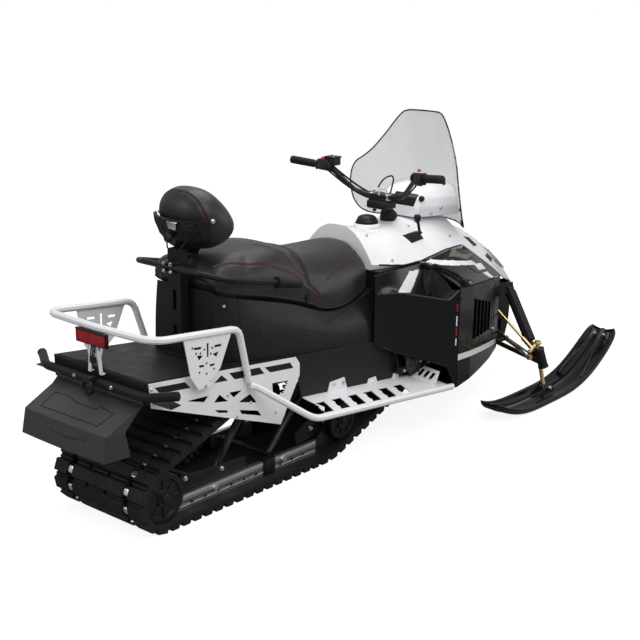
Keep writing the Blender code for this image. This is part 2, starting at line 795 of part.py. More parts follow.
bracket_holes = [
    [(-0.036, 0.708), (-0.010, 0.708), (-0.026, 0.680)],
    [(0.036, 0.708), (0.026, 0.680), (0.010, 0.708)],
    [(-0.014, 0.676), (0.000, 0.694), (0.014, 0.676)],
]
bracket_x = -0.114
rack_parts.append(plate(bracket, bracket_holes, lambda u, v, w: (bracket_x + w, u, v), BRACKET_T))
for s in (-1, 1):
    foot_y = sorted((s * 0.025, s * 0.039))
    rack_parts.append(block((bracket_x, TUNNEL_REAR - GAP), foot_y, (0.6005, 0.6045)))
add("rack", join(rack_parts[0], *rack_parts[1:]), WHITE, vehicle)
lamp_x = bracket_x - GAP
add("tail_lamp", block((lamp_x - LAMP_T, lamp_x), (-0.080, 0.080), (0.715, 0.758)),
    ((0.35, 0.004, 0.004), 0.15), vehicle, smooth=0)

# Rear bumper with its towing ring
bar_x = TUNNEL_REAR - BUMPER_R - GAP
path = rounded(
    [
        (-0.060, -TUNNEL_OUT - 0.120, BUMPER_Z + 0.020),
        (bar_x - 0.008, -TUNNEL_OUT - 0.020, BUMPER_Z + 0.004),
        (bar_x, -TUNNEL_OUT + 0.035, BUMPER_Z),
        (bar_x, TUNNEL_OUT - 0.035, BUMPER_Z),
        (bar_x - 0.008, TUNNEL_OUT + 0.020, BUMPER_Z + 0.004),
        (-0.060, TUNNEL_OUT + 0.120, BUMPER_Z + 0.020),
    ],
    0.050,
    3,
)
hitch_x = bar_x - 0.038
hitch_z = BUMPER_Z - 0.014
rings = []
for k in range(12):
    t = 2 * math.pi * k / 12
    ring = []
    for j in range(6):
        a = 2 * math.pi * j / 6
        r = 0.026 + 0.007 * math.cos(a)
        ring.append((hitch_x + 0.007 * math.sin(a), r * math.sin(t), hitch_z + r * math.cos(t)))
    rings.append(ring)
hitch_lug = block((hitch_x - 0.004, bar_x), (-0.011, 0.011), (hitch_z + 0.020, hitch_z + 0.036))
tabs = [block((bar_x, TUNNEL_REAR - GAP), (y - 0.02, y + 0.02), (BUMPER_Z - 0.010, BUMPER_Z + 0.010))
        for y in (-0.2, 0.2)]
add("rear_bumper", join(tube(path, BUMPER_R), *tabs, hitch_lug, loft(rings, closed=True)), BLACK, vehicle)

# Snow flap: sloping top, upright back and short side returns
FLAP = (
    # x of the back, z, half width, length of the side return
    (TUNNEL_REAR - FLAP_T - 2 * GAP, 0.549, 0.240, 0.0003),
    (TUNNEL_REAR - FLAP_T - 2 * GAP, 0.534, 0.240, 0.0003),
    (-0.263, 0.451, 0.243, 0.075),
    (-0.279, 0.356, 0.247, 0.110),
)
grid = []
for x, z, half, back in FLAP:
    columns = [(x + back, -half - 0.002), (x, -half + 0.012), (x - 0.004, -half * 0.5), (x - 0.006, 0)]
    row = [(cx, cy, z) for cx, cy in columns] + [(cx, -cy, z) for cx, cy in reversed(columns[:-1])]
    grid.append(row)
# Shallow smile-shaped groove pressed into the upright back
groove = [(-0.272, 0.148, 0.440), (-0.2755, 0.117, 0.408), (-0.2775, 0.0, 0.402), (-0.2755, -0.117, 0.408),
          (-0.272, -0.148, 0.440)]
add("snow_flap", cut(shell(grid, FLAP_T), tube(groove, 0.004, 6)), SATIN, vehicle, smooth=20)

# Seat on its moulded base
SEAT = (
    # x, top, bottom, half width at the top, half width at the bottom
    (0.333, 0.940, 0.848, 0.150, 0.172),
    (0.375, 0.960, 0.826, 0.178, 0.198),
    (0.500, 0.966, 0.795, 0.185, 0.205),
    (0.680, 0.972, 0.750, 0.182, 0.208),
    (0.800, 0.938, 0.715, 0.170, 0.210),
    (0.930, 0.897, 0.660, 0.162, 0.212),
    (1.060, 0.893, 0.645, 0.155, 0.212),
    (1.190, 0.900, 0.675, 0.135, 0.200),
    (1.262, 0.900, 0.700, 0.110, 0.180),
)


def seat_ring(x, top, bottom, upper, lower):
    half = [
        (0.0, top),
        (upper * 0.55, top - 0.006),
        (upper * 0.92, top - 0.028),
        ((upper + lower) / 2 + 0.006, top - 0.075),
        (lower + 0.004, bottom + 0.045),
        (lower, bottom),
    ]
    left = [(x, y, z) for y, z in half]
    right = [(x, -y, z) for y, z in reversed(half[1:])]
    return left + right


add("seat", loft([seat_ring(*row) for row in SEAT]), LEATHER, vehicle, smooth=60)

BASE = (
    # x, half width at the bottom, half width at the top
    (0.333, TUNNEL_OUT - 0.095, 0.150),
    (0.430, TUNNEL_OUT - 0.043, 0.190),
    (0.680, TUNNEL_OUT - 0.025, 0.200),
    (0.930, TUNNEL_OUT - 0.013, 0.205),
    (1.190, TANK_HALF, 0.195),
    (1.262, TANK_HALF, 0.178),
)
TANK_FRONT = 1.560


def base_ring(x, low, high, top):
    floor = deck_z(x) + GAP
    shoulder = floor + (top - floor) * 0.55
    half = [(low, floor), (low - 0.004, shoulder), (high, top)]
    return [(x, -y, z) for y, z in half] + [(x, y, z) for y, z in reversed(half)]


rings = []
for x, top, bottom, upper, lower in SEAT:
    rings.append(base_ring(x, table(BASE, x, 1), table(BASE, x, 2), bottom - GAP))
for x in (SEAT[-1][0] + GAP / 2, TANK_FRONT):
    rings.append(base_ring(x, TANK_HALF, TANK_HALF - 0.016, CONSOLE_BASE - GAP))
add("seat_base", loft(rings), SATIN, vehicle, smooth=20)

# Backrest: leaned cushion in a moulded shell on a slotted post, with the grab rail
CUSHION = (
    # height, depth, half width, forward shift
    (0.000, 0.130, 0.085, 0.062),
    (0.020, 0.185, 0.120, 0.066),
    (0.070, 0.232, 0.152, 0.066),
    (0.130, 0.218, 0.154, 0.047),
    (0.185, 0.180, 0.132, 0.034),
    (0.223, 0.130, 0.092, 0.028),
    (0.245, 0.060, 0.052, 0.022),
)
CUSHION_AT = (0.375, 0.0, 0.985)
lean = Matrix.Rotation(-BACKREST_LEAN, 3, "Y")


def cushion_ring(height, depth, half, shift, grow=0.0):
    ring = []
    for k in range(16):
        t = 2 * math.pi * k / 16
        c, s = math.cos(t), math.sin(t)
        x = math.copysign(abs(c) ** 0.75, c) * (depth / 2 + grow) + shift
        y = math.copysign(abs(s) ** 0.8, s) * (half + grow)
        ring.append(lean @ Vector((x, y, height)) + Vector(CUSHION_AT))
    return ring


add("backrest_cushion", loft([cushion_ring(*row) for row in CUSHION]), LEATHER, vehicle,
    at=CUSHION_AT, smooth=60)
slots = []
for low, high in ((0.640, 0.700), (0.760, 0.840)):
    slots.append(block((POST_X - 0.05, POST_X + 0.05), (-0.010, 0.010), (low, high)))
post = block(
    (POST_X - POST_D, POST_X + POST_D),
    (-POST_HALF, POST_HALF),
    (deck_z(POST_X) + 0.004, 1.000),
)
post = cut(post, *slots)
back_x = 0.300
shell_rows = []
for h, half in ((0.000, 0.045), (0.035, 0.088), (0.070, 0.135), (0.110, 0.140), (0.150, 0.130)):
    row = []
    for v in (-1.0, -0.85, -0.6, -0.2, 0.2, 0.6, 0.85, 1.0):
        y = v * half
        depth = table(CUSHION, h, 1) / 2
        wide = table(CUSHION, h, 2)
        inside = max(0.0, 1 - (abs(y) / wide) ** 2.4) ** 0.4
        x = table(CUSHION, h, 3) - depth * inside - 0.0090
        row.append(lean @ Vector((x, y, h)) + Vector(CUSHION_AT))
    shell_rows.append(row)
back_shell = shell(shell_rows, 0.010)
foot = block((POST_X - POST_D - 0.010, POST_X + POST_D), (-POST_HALF - 0.02, POST_HALF + 0.02),
             (deck_z(POST_X - POST_D - 0.01) + GAP, deck_z(POST_X) + 0.010))
clamp = block((GRAB_X, POST_X), (-0.030, 0.030), (GRAB_Z - 0.020, GRAB_Z + 0.020))
grab_side = [(0.730, GRAB_Z - 0.107), (0.320, GRAB_Z - 0.020), (GRAB_X, GRAB_Z)]
grab_half = [GRAB_Y, GRAB_Y, GRAB_Y - 0.100]
grab_path = [(x, -y, z) for (x, z), y in zip(grab_side, grab_half)]
grab_path = rounded(grab_path + [(x, -y, z) for x, y, z in reversed(grab_path)], 0.060, 3)
grab = tube(grab_path, RAIL_TUBE_R)
grips = [
    tube([(0.600, s * GRAB_Y, GRAB_Z - 0.0794), (0.735, s * GRAB_Y, GRAB_Z - 0.108)], 0.017)
    for s in (-1, 1)
]
add("backrest_frame", join(post, foot, back_shell, clamp, grab, *grips), BLACK, vehicle)

# Console and hood
CONSOLE = (
    # x, top above the console base, half width, edge above the console base
    (1.2625, 0.180, 0.200, 0.024),
    (1.420, 0.140, 0.250, 0.005),
    (1.550, 0.140, 0.258, 0.005),
    (1.605, 0.149, 0.258, 0.012),
    (1.660, 0.148, 0.258, 0.018),
    (1.740, 0.161, 0.256, 0.030),
    (1.930, 0.161, 0.232, 0.018),
)


def arch(x, top, half, edge, power=2.4, count=5):
    """Points of a cross-section from the right edge over the top to the left edge."""
    row = []
    for j in range(-count, count + 1):
        v = j / count
        v = math.copysign(abs(v) ** 0.8, v)
        row.append((x, v * half, edge + (top - edge) * (1 - abs(v) ** power)))
    return row


rings = []
for x, top, half, edge in CONSOLE:
    low = CONSOLE_BASE
    rings.append([(x, -half + 0.01, low)] + arch(x, low + top, half, low + edge) + [(x, half - 0.01, low)])
CAP_X = 1.475
CAP_R = 0.052
cap_z = CONSOLE_BASE + table(CONSOLE, CAP_X - CAP_R, 1) + 0.002
boss = lathe([(CONSOLE_BASE + 0.05, CAP_R + 0.005), (cap_z, CAP_R + 0.005)], (CAP_X, 0, 0), 16, "Z")
add("console", join(loft(rings), boss), WHITE, vehicle, smooth=40)
HOOD = (
    (1.9327, CONSOLE_BASE + 0.123, 0.230, CONSOLE_BASE + 0.013),
    (2.080, CONSOLE_BASE + 0.078, 0.214, CONSOLE_BASE - 0.064),
    (2.230, 0.793, 0.203, 0.640),
    (2.320, 0.738, 0.192, 0.584),
    (2.434, 0.658, 0.165, 0.530),
    (2.536, 0.588, 0.130, 0.505),
    (2.644, 0.487, 0.070, 0.455),
)
add("hood", shell([arch(*row) for row in HOOD], -PANEL_T), WHITE, vehicle, smooth=40)
lamp_rows = []
for x in (2.360, 2.434, 2.500):
    row = []
    for v in (-0.75, -0.5, -0.25, 0.0, 0.25, 0.5, 0.75):
        half = table(HOOD, x, 2)
        top, edge = table(HOOD, x, 1), table(HOOD, x, 3)
        row.append((x + 0.001, v * half, edge + (top - edge) * (1 - abs(v) ** 2.4) + 0.0028))
    lamp_rows.append(row)
add("headlamp", shell(lamp_rows, 0.006), ((0.5, 0.5, 0.52), 0.10), vehicle, smooth=40)

cap_profile = [(0.0, CAP_R), (0.022, CAP_R), (0.036, 0.045), (0.046, 0.030), (0.050, 0.012)]
cap_at = (CAP_X, 0, cap_z + GAP)
add("fuel_cap", lathe(cap_profile, cap_at, 16, "Z"), BLACK, vehicle, at=cap_at)
LEVER_AT = (1.600, -0.180)
lever_half = table(CONSOLE, LEVER_AT[0], 2)
lever_edge = CONSOLE_BASE + table(CONSOLE, LEVER_AT[0], 3)
lever_top = CONSOLE_BASE + table(CONSOLE, LEVER_AT[0], 1)
share = (abs(LEVER_AT[1]) - 0.026) / lever_half
lever_z = lever_edge + (lever_top - lever_edge) * (1 - share ** 2.4) - 0.0007
lever_base = (*LEVER_AT, lever_z)
lever = lathe([(0.0, 0.026), (0.006, 0.022), (0.014, 0.010)], lever_base, 10, "Z")
stick = tube([lever_base, (1.628, -0.192, lever_z + 0.035), (1.642, -0.192, lever_z + 0.060)], 0.006, 6)
knob = lathe([(-0.022, 0.008), (-0.012, 0.018), (0.0, 0.021), (0.012, 0.018), (0.020, 0.008)],
             (1.645, -0.192, lever_z + 0.072), 10, "Z")
add("gear_lever", join(lever, stick, knob), BLACK, vehicle, at=lever_base)


# Windshield: bent sheet whose face is given by height and distance from the middle
def shield_x(y, z):
    return SHIELD_X - SHIELD_RAKE * (z - SHIELD_Z) - SHIELD_BEND * y * y


SHIELD = (
    # height above the middle of the sheet, half width
    (-0.115, 0.200), (-0.095, 0.285), (-0.036, 0.315), (0.051, 0.319), (0.115, 0.311), (0.159, 0.296),
    (0.183, 0.274), (0.222, 0.241), (0.295, 0.192), (0.359, 0.150), (0.400, 0.115), (0.415, 0.090),
)
grid = []
for height, half in SHIELD:
    z = SHIELD_Z + height
    grid.append([(shield_x(v / 4 * half, z), v / 4 * half, z) for v in range(-4, 5)])
add("windshield", shell(grid, -SHIELD_T), ((0.30, 0.31, 0.33), 0.10), vehicle, smooth=40)

POD = (
    # height above the console base, x of the rear face, half width
    (0.1613, 1.705, 0.190),
    (0.205, 1.715, 0.200),
    (0.245, 1.740, 0.190),
    (0.280, 1.780, 0.160),
    (0.295, 1.835, 0.110),
)
rings = []
for height, rear, half in POD:
    z = CONSOLE_BASE + height
    front = []
    for v in range(-5, 6):
        y = v / 5 * half
        front.append((shield_x(y, z) - SHIELD_T - POD_CLEAR, y, z))
    back = [(rear, half * 0.6, z), (rear - 0.005, 0.0, z), (rear, -half * 0.6, z)]
    rings.append(front + back)
add("instrument_pod", loft(rings), WHITE, vehicle, smooth=40)

# Side bodywork: knee guard, louvred side panel and shoulder panel on each side
POCKET_IN = TUNNEL_OUT + 0.001
GUARD = (
    # x, distance from the middle, top, bottom, pocket floor distance, pocket floor height
    (1.200, TUNNEL_OUT + 0.0052, 0.690, 0.470, TUNNEL_OUT + 0.0035, 0.724),
    (1.300, TUNNEL_OUT + 0.035, 0.700, 0.420, TUNNEL_OUT + 0.005, 0.712),
    (1.420, TUNNEL_OUT + 0.110, 0.665, 0.378, TUNNEL_OUT + 0.035, 0.652),
    (1.520, TUNNEL_OUT + 0.173, 0.642, 0.330, TUNNEL_OUT + 0.050, 0.630),
    (1.5630, 0.462, 0.686, 0.228, TUNNEL_OUT + 0.110, 0.722),
)
SIDE = (
    # x, distance from the middle, top, bottom
    (1.5705, 0.4620, 0.690, 0.228),
    (1.750, 0.412, 0.663, 0.215),
    (1.940, 0.347, 0.634, 0.205),
    (2.130, 0.279, 0.605, 0.200),
    (2.300, 0.212, 0.580, 0.205),
)
SHOULDER = (
    # x, inner distance, inner height
    (1.5705, 0.266, CONSOLE_BASE - 0.002),
    (1.740, 0.262, CONSOLE_BASE + 0.024),
    (1.930, 0.239, CONSOLE_BASE + 0.008),
    (2.090, 0.220, 0.706),
    (2.290, 0.202, 0.600),
)
for side, end in ((-1, "right"), (1, "left")):
    grid = []
    for x, y, top, bottom, deep_y, deep_z in GUARD:
        ledge = (y - deep_y) * 0.45
        column = [(y, bottom), (y, (top + bottom) / 2), (y, top)]
        column += [(y - ledge, top - ledge * 0.2), (deep_y, deep_z)]
        column += [((deep_y + POCKET_IN) / 2, (deep_z + CONSOLE_BASE) / 2), (POCKET_IN, CONSOLE_BASE - 0.002)]
        grid.append([(x, side * cy, cz) for cy, cz in column])
    add("knee_guard_" + end, shell(grid, PANEL_T * side), BLACK, vehicle, smooth=40)
    grid = []
    for x, y, top, bottom in SIDE:
        grid.append([(x, side * y, bottom + (top - bottom) * w / 4) for w in range(5)])
    panel = shell(grid, PANEL_T * side)
    cutters, blades = [], []
    for k in range(LOUVRE_COUNT):
        x = LOUVRE_X + LOUVRE_PITCH * k
        y = table(SIDE, x, 1)
        z_top, z_low = LOUVRE_TOP - 0.020 * k, LOUVRE_LOW - 0.008 * k
        cutters.append(block((x - LOUVRE_W / 2, x + LOUVRE_W / 2),
                             sorted((side * (y - 0.03), side * (y + 0.03))), (z_low, z_top)))
        # Blade along the front edge of the slot, leaning out and back in a shallow wave
        rings = []
        for w, wave in ((0.0, -0.5), (0.3, 0.6), (0.7, -0.6), (1.0, 0.5)):
            z = z_low + (z_top - z_low) * w
            root = x + LOUVRE_W / 2 + LOUVRE_WAVE * wave
            y_root = table(SIDE, root, 1)
            rings.append([
                (root + 0.004, side * (y_root - 0.004), z),
                (root - 0.001, side * (y_root - 0.0025), z),
                (root - 0.014, side * (y_root + 0.0125), z),
                (root - 0.009, side * (y_root + 0.0125), z),
            ])
        blades.append(loft(rings))
    add("side_panel_" + end, join(cut(panel, *cutters), *blades), BLACK, vehicle, smooth=40)
    grid = []
    for x, y2, z2 in SHOULDER:
        y = table(SIDE, x, 1)
        z = table(SIDE, x, 2) + PANEL_T + 0.0002
        grid.append([(x, side * (y + (y2 - y) * w / 3), z + (z2 - z) * w / 3) for w in range(4)])
    add("shoulder_panel_" + end, shell(grid, PANEL_T * side), BLACK, vehicle, smooth=40)

# Engine, hull and front frame
(ex0, ex1), ey, (ez0, ez1) = ENGINE
add("engine_block", block((ex0, ex1), (-ey, ey), (ez0, ez1)), ((0.08, 0.08, 0.085), 0.5, 0.6), vehicle,
    smooth=0)
HULL = (
    # x, half width
    (1.575, 0.440),
    (1.750, 0.395),
    (2.000, 0.310),
    (2.295, 0.205),
)
rings = []
for x, half in HULL:
    floor = FRAME_FLOOR - HULL_T - 3 * GAP
    half = min(half, table(SIDE, x, 1) - PANEL_T - 0.002)
    half_ring = [(half - 0.022, floor), (half, floor + 0.030), (half - 0.008, floor + 0.034),
                 (half - 0.026, floor + HULL_T)]
    rings.append([(x, y, z) for y, z in half_ring] + [(x, -y, z) for y, z in reversed(half_ring)])
add("lower_hull", loft(rings), SATIN, vehicle, smooth=20)

FRAME_X = (2.110, 2.440)
FRAME_T = 0.016
FRONT_BAR_X = 2.500
FRONT_BAR_Z = 0.4975
FRONT_BAR_R = 0.0125
cheeks = []
for s in (-1, 1):
    outline = [(FRAME_X[0], FRAME_FLOOR), (FRAME_X[1], FRAME_FLOOR), (FRAME_X[1] + 0.030, 0.300),
               (2.480, 0.430), (FRONT_BAR_X, FRONT_BAR_Z - 0.012), (FRONT_BAR_X, FRONT_BAR_Z + 0.006),
               (2.380, 0.520), (FRAME_X[0], 0.450)]
    window = [(2.310, 0.255), (2.405, 0.255), (2.405, 0.330), (2.310, 0.330)]
    cheeks.append(plate(outline, [window], lambda u, v, w: (u, s * (BULKHEAD_Y - w), v), FRAME_T))
floor_plate = block(FRAME_X, (-BULKHEAD_Y + 0.004, BULKHEAD_Y - 0.004), (FRAME_FLOOR - 0.0003, 0.236))
front_cross = block((2.425, 2.445), (-BULKHEAD_Y + 0.004, BULKHEAD_Y - 0.004), (0.230, 0.500))
bar_y = BULKHEAD_Y - 0.004
path = rounded(
    [(FRONT_BAR_X - 0.008, -bar_y, FRONT_BAR_Z - 0.080), (FRONT_BAR_X, -bar_y, FRONT_BAR_Z),
     (FRONT_BAR_X, bar_y, FRONT_BAR_Z), (FRONT_BAR_X - 0.008, bar_y, FRONT_BAR_Z - 0.080)],
    0.030,
    2,
)
front_bar = tube(path, FRONT_BAR_R)
add("front_frame", join(cheeks[0], floor_plate, front_cross, cheeks[1], front_bar), BLACK, vehicle)


# Front suspension and steering, one side at a time
def at_side(point, side):
    return Vector((point[0], side * point[1], point[2]))


steer = empty("handlebar_steer", STEER_POINT, vehicle)
for side, end in ((-1, "right"), (1, "left")):
    low, high = at_side(KINGPIN_LOW, side), at_side(KINGPIN_HIGH, side)
    pin = (high - low).normalized()

    def along(distance, point=low, direction=pin):
        return point + direction * distance

    # Lower arm with the knuckle sleeve and the sprung strut
    knuckle_low, knuckle_high = along(0.045), along(0.145)
    sleeve = tube([knuckle_low, knuckle_high], KNUCKLE_R, 12)
    hub = along(0.070)
    inward = Vector((0, -side, 0))
    arm_end = hub + inward * (KNUCKLE_R * 0.9)
    inner_y = BULKHEAD_Y + GAP + ARM_TUBE_R * 0.93
    front_leg = tube([(ARM_X[1], side * inner_y, ARM_Z), arm_end], ARM_TUBE_R)
    rear_leg = tube([(ARM_X[0], side * inner_y, ARM_Z), arm_end], ARM_TUBE_R)
    eyes = tube([(ARM_X[0] - 0.014, side * inner_y, ARM_Z), (ARM_X[1] + 0.014, side * inner_y, ARM_Z)],
                ARM_TUBE_R)
    strut_low = arm_end + Vector((0.045, -side * 0.050, 0.030))
    strut_high = Vector((STRUT_TOP[0], side * STRUT_TOP[1], STRUT_TOP[2]))
    span = strut_high - strut_low
    strut_path = [strut_low + span * w for w in (0.0, 0.16, 0.17, 0.92, 0.93, 1.0)]
    strut = tube(strut_path, 0, 10, radii=[0.012, 0.012, 0.029, 0.029, 0.014, 0.014])
    tab = block((strut_low.x - 0.010, strut_low.x + 0.010),
                sorted((strut_low.y - 0.02, strut_low.y + 0.02)), (strut_low.z - 0.035, strut_low.z + 0.006))
    bore = tube([along(0.030), along(0.165)], SPINDLE_R + 0.0008, 12)
    lower = join(eyes, front_leg, rear_leg, sleeve, tab, strut)
    add("lower_arm_" + end, cut(lower, bore), BLACK, vehicle)
    link_inner = Vector((LINK_AT[0], side * (BULKHEAD_Y + GAP + 0.0036), LINK_AT[1]))
    link_outer = knuckle_high + inward * (KNUCKLE_R + 0.008) + pin * -0.020
    link_path = [link_inner + (link_outer - link_inner) * w for w in (0.0, 0.70, 0.71, 1.0)]
    add("upper_link_" + end, tube(link_path, 0, 10, radii=[0.007, 0.007, 0.011, 0.011]), GOLD, vehicle)

    # Spindle: pin in the knuckle, saddle fork below, steering arm above
    pivot = empty("ski_steer_" + end, tuple(low), vehicle)
    shaft = tube([along(-0.010), along(0.178)], SPINDLE_R, 12)
    collar = tube([along(0.1465), along(0.176)], 0.021, 12)
    tie = at_side(TIE_OUTER, side)
    reach = tube([along(0.166), Vector((tie.x, tie.y, tie.z + 0.026))], 0.010, 8)
    pin_stub = tube([(tie.x, tie.y, tie.z + 0.032), (tie.x, tie.y, tie.z + 0.0110)], 0.009, 10)
    saddle = block((low.x - 0.028, low.x + 0.028), sorted((side * (SKI_Y - 0.024), side * (SKI_Y + 0.030))),
                   (0.052, 0.128))
    foot = block((low.x - 0.075, low.x + 0.075), sorted((side * (SKI_Y - 0.022), side * (SKI_Y + 0.022))),
                 (0.0305, 0.060))
    add("spindle_" + end, join(shaft, collar, reach, pin_stub, saddle, foot), GOLD, pivot, at=tuple(low))

    # Ski: keeled runner with raised rims and an upturned tip
    SKI = (
        # x, keel height, half width
        (1.790, 0.085, 0.045), (1.840, 0.050, 0.075), (1.930, 0.018, 0.090), (2.040, 0.000, 0.095),
        (2.200, 0.000, 0.095), (2.380, 0.000, 0.095), (2.500, 0.014, 0.095), (2.620, 0.052, 0.094),
        (2.720, 0.105, 0.093), (2.800, 0.158, 0.090), (2.865, 0.207, 0.084), (2.900, 0.238, 0.066),
    )
    rings = []
    for x, z, half in SKI:
        rim = 0.034 if half > 0.06 else 0.022
        under = [(-half, z + 0.020), (-half * 0.78, z + 0.004), (-half * 0.22, z + 0.004), (0.0, z),
                 (half * 0.22, z + 0.004), (half * 0.78, z + 0.004), (half, z + 0.020)]
        over = [(half, z + rim), (half * 0.86, z + rim), (half * 0.72, z + 0.018),
                (half * 0.25, z + 0.016), (0.0, z + 0.030), (-half * 0.25, z + 0.016),
                (-half * 0.72, z + 0.018), (-half * 0.86, z + rim), (-half, z + rim)]
        rings.append([(x, side * SKI_Y + y, h) for y, h in under + over])
    add("ski_" + end, loft(rings), BLACK, pivot, at=(low.x, side * SKI_Y, 0.0), smooth=30)

    # Tie rod
    slide = empty("tie_rod_slide_" + end, tuple(tie), vehicle)
    eye = lathe([(-0.0105, 0.014), (0.0105, 0.014)], tie, 12, "Z")
    rod = tube([tie, at_side(TIE_INNER, side)], TIE_R)
    add("tie_rod_" + end, join(eye, rod), GOLD, slide, at=tuple(tie))

# Handlebar: bent tube, grips, control pods and the clamp on the steering post
rake = Vector((-math.sin(STEER_RAKE), 0, math.cos(STEER_RAKE)))
axis_point = Vector(STEER_POINT)
HALF_BAR = (
    # x, distance from the middle, height above the steering point
    (1.440, 0.425, 0.215), (1.500, 0.250, 0.195), (1.556, 0.140, 0.092), (1.568, 0.050, 0.076),
)


def on_bar(point, side):
    return Vector((point[0], side * point[1], STEER_POINT[2] + point[2]))


bar_path = [on_bar(p, -1) for p in HALF_BAR] + [on_bar(p, 1) for p in reversed(HALF_BAR)]
bar = tube(rounded(bar_path, 0.045, 3), BAR_R)
clamp_z = STEER_POINT[2] + 0.035
parts = [
    tube([axis_point - rake * 0.0333, axis_point + rake * 0.045], 0.020, 12),
    block((1.545, 1.615), (-0.048, 0.048), (clamp_z, clamp_z + 0.053)),
]
for s in (-1, 1):
    tip, bend = on_bar(HALF_BAR[0], s), on_bar(HALF_BAR[1], s)
    run = bend - tip
    parts.append(tube([tip - run * 0.02, tip + run * 0.70], GRIP_R, 10))
    parts.append(tube([tip + run * 0.71, tip + run * 0.98], 0.021, 8))
    # Lever ahead of the grip, on its pod
    pod = tip + run * 0.88
    lever = [pod, pod + Vector((0.042, 0, -0.004)), tip + run * 0.62 + Vector((0.046, 0, -0.010)),
             tip + run * 0.12 + Vector((0.042, 0, -0.020))]
    parts.append(tube(lever, 0.0055, 6))
# Brake reservoir on the left bar and the cable bundle that runs down the bar
box = on_bar(HALF_BAR[1], 1) + Vector((0.012, -0.012, 0.026))
parts.append(block((box.x - 0.024, box.x + 0.024), (box.y - 0.026, box.y + 0.026),
                   (box.z - 0.020, box.z + 0.016)))
bundle = [
    on_bar(HALF_BAR[1], 1) + Vector((0.014, 0.010, -0.006)),
    on_bar(HALF_BAR[2], 1) + Vector((0.016, 0.006, -0.006)),
    on_bar(HALF_BAR[3], 1) + Vector((0.020, 0.020, -0.014)),
    on_bar(HALF_BAR[3], 1) + Vector((0.026, -0.008, -0.022)),
]
parts.append(tube(rounded(bundle, 0.03, 2), 0.008, 6))
add("handlebar", join(bar, *parts), BLACK, steer, at=STEER_POINT)
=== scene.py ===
"""Finishes and fittings of a utility snowmobile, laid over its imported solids.

Lengths are in metres. X in the tables counts from the rear wheel axle, and
`at` moves it to the frame's origin. Each operator makes one piece or one
group of like pieces, already in its place.
"""

import math

import bmesh
import bpy
from bpy.props import FloatProperty, FloatVectorProperty, IntProperty, PointerProperty
from mathutils import Matrix, Vector
from mathutils.bvhtree import BVHTree


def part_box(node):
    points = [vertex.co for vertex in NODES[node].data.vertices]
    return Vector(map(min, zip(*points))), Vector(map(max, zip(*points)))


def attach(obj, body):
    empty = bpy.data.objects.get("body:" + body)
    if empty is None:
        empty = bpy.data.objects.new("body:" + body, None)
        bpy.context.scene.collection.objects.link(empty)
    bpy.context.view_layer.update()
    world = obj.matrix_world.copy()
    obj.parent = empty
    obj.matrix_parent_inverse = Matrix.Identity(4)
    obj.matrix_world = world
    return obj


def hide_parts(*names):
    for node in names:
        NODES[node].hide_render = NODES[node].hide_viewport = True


bl_info = {
    "name": "Snowmobile Finishes",
    "version": (1, 0, 0),
    "blender": (4, 5, 0),
    "location": "3D View > Sidebar > Snowmobile",
    "description": "Adds upholstery, fittings and finishes to the solids of a utility snowmobile",
    "category": "Object",
}

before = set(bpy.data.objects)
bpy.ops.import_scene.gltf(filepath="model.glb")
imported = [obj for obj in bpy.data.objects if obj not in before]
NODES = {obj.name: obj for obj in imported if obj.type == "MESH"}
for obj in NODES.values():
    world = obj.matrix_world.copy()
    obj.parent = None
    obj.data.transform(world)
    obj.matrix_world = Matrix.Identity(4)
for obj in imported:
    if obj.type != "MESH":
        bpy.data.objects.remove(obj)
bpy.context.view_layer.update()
AXLE_X = 1.3075
CHASSIS = "chassis"
LEFT_RIGHT = ((-1, "right"), (1, "left"))


def at(x, y, z):
    """Point of the frame from a distance ahead of the rear wheel axle."""
    return Vector((x - AXLE_X, y, z))


# Sizes and colours
def length(name, description, default):
    return FloatProperty(name=name, description=description, default=default, min=0.0, subtype="DISTANCE",
                         unit="LENGTH", precision=4)


def colour(name, description, default):
    return FloatVectorProperty(name=name, description=description, default=default, size=3, min=0.0, max=1.0,
                               subtype="COLOR")


class SnowmobileColours(bpy.types.PropertyGroup):
    white: colour("White", "Painted and moulded white parts", (0.80, 0.81, 0.825))
    gloss_black: colour("Gloss black", "Side panels, shoulders and skis", (0.0045, 0.0055, 0.007))
    satin_black: colour("Satin black", "Seat base, flap and tunnel", (0.0085, 0.009, 0.010))
    leather: colour("Leather", "Seat and backrest covers", (0.0115, 0.0105, 0.0105))
    thread: colour("Thread", "Seat stitching and piping", (0.22, 0.024, 0.021))
    red: colour("Red", "Tail lamp lens, switch buttons", (0.50, 0.006, 0.008))
    zinc: colour("Yellow zinc", "Plated steering and suspension parts", (0.66, 0.50, 0.22))
    smoke: colour("Smoke", "Tint of the windshield", (0.60, 0.61, 0.63))


class SnowmobileSizes(bpy.types.PropertyGroup):
    thread: length("Thread", "Thickness of a stitch", 0.001)
    stitch: length("Stitch", "Length of a stitch", 0.0065)
    stitch_gap: length("Stitch gap", "Space between two stitches", 0.0035)
    seam_depth: length("Seam depth", "Depth of a sewn seam", 0.0035)
    seat_swell: length("Seat swell", "Furthest that the seat cover swells", 0.008)
    back_swell: length("Backrest swell", "Furthest that the backrest cover swells", 0.010)
    bolt: length("Bolt", "Radius of a bolt head", 0.0075)
    screw: length("Screw", "Radius of a panel screw", 0.006)
    trim: length("Trim", "Radius of the windshield's edge trim", 0.0034)
    grip_ribs: IntProperty(name="Grip ribs", description="Ribs on a handlebar grip", default=16, min=4, max=40)


# Mesh helpers
def free():
    """Leave edit mode and clear the selection."""
    if bpy.context.mode != "OBJECT":
        bpy.ops.object.mode_set(mode="OBJECT")
    bpy.ops.object.select_all(action="DESELECT")


def pick(obj):
    free()
    obj.select_set(True)
    bpy.context.view_layer.objects.active = obj
    return obj


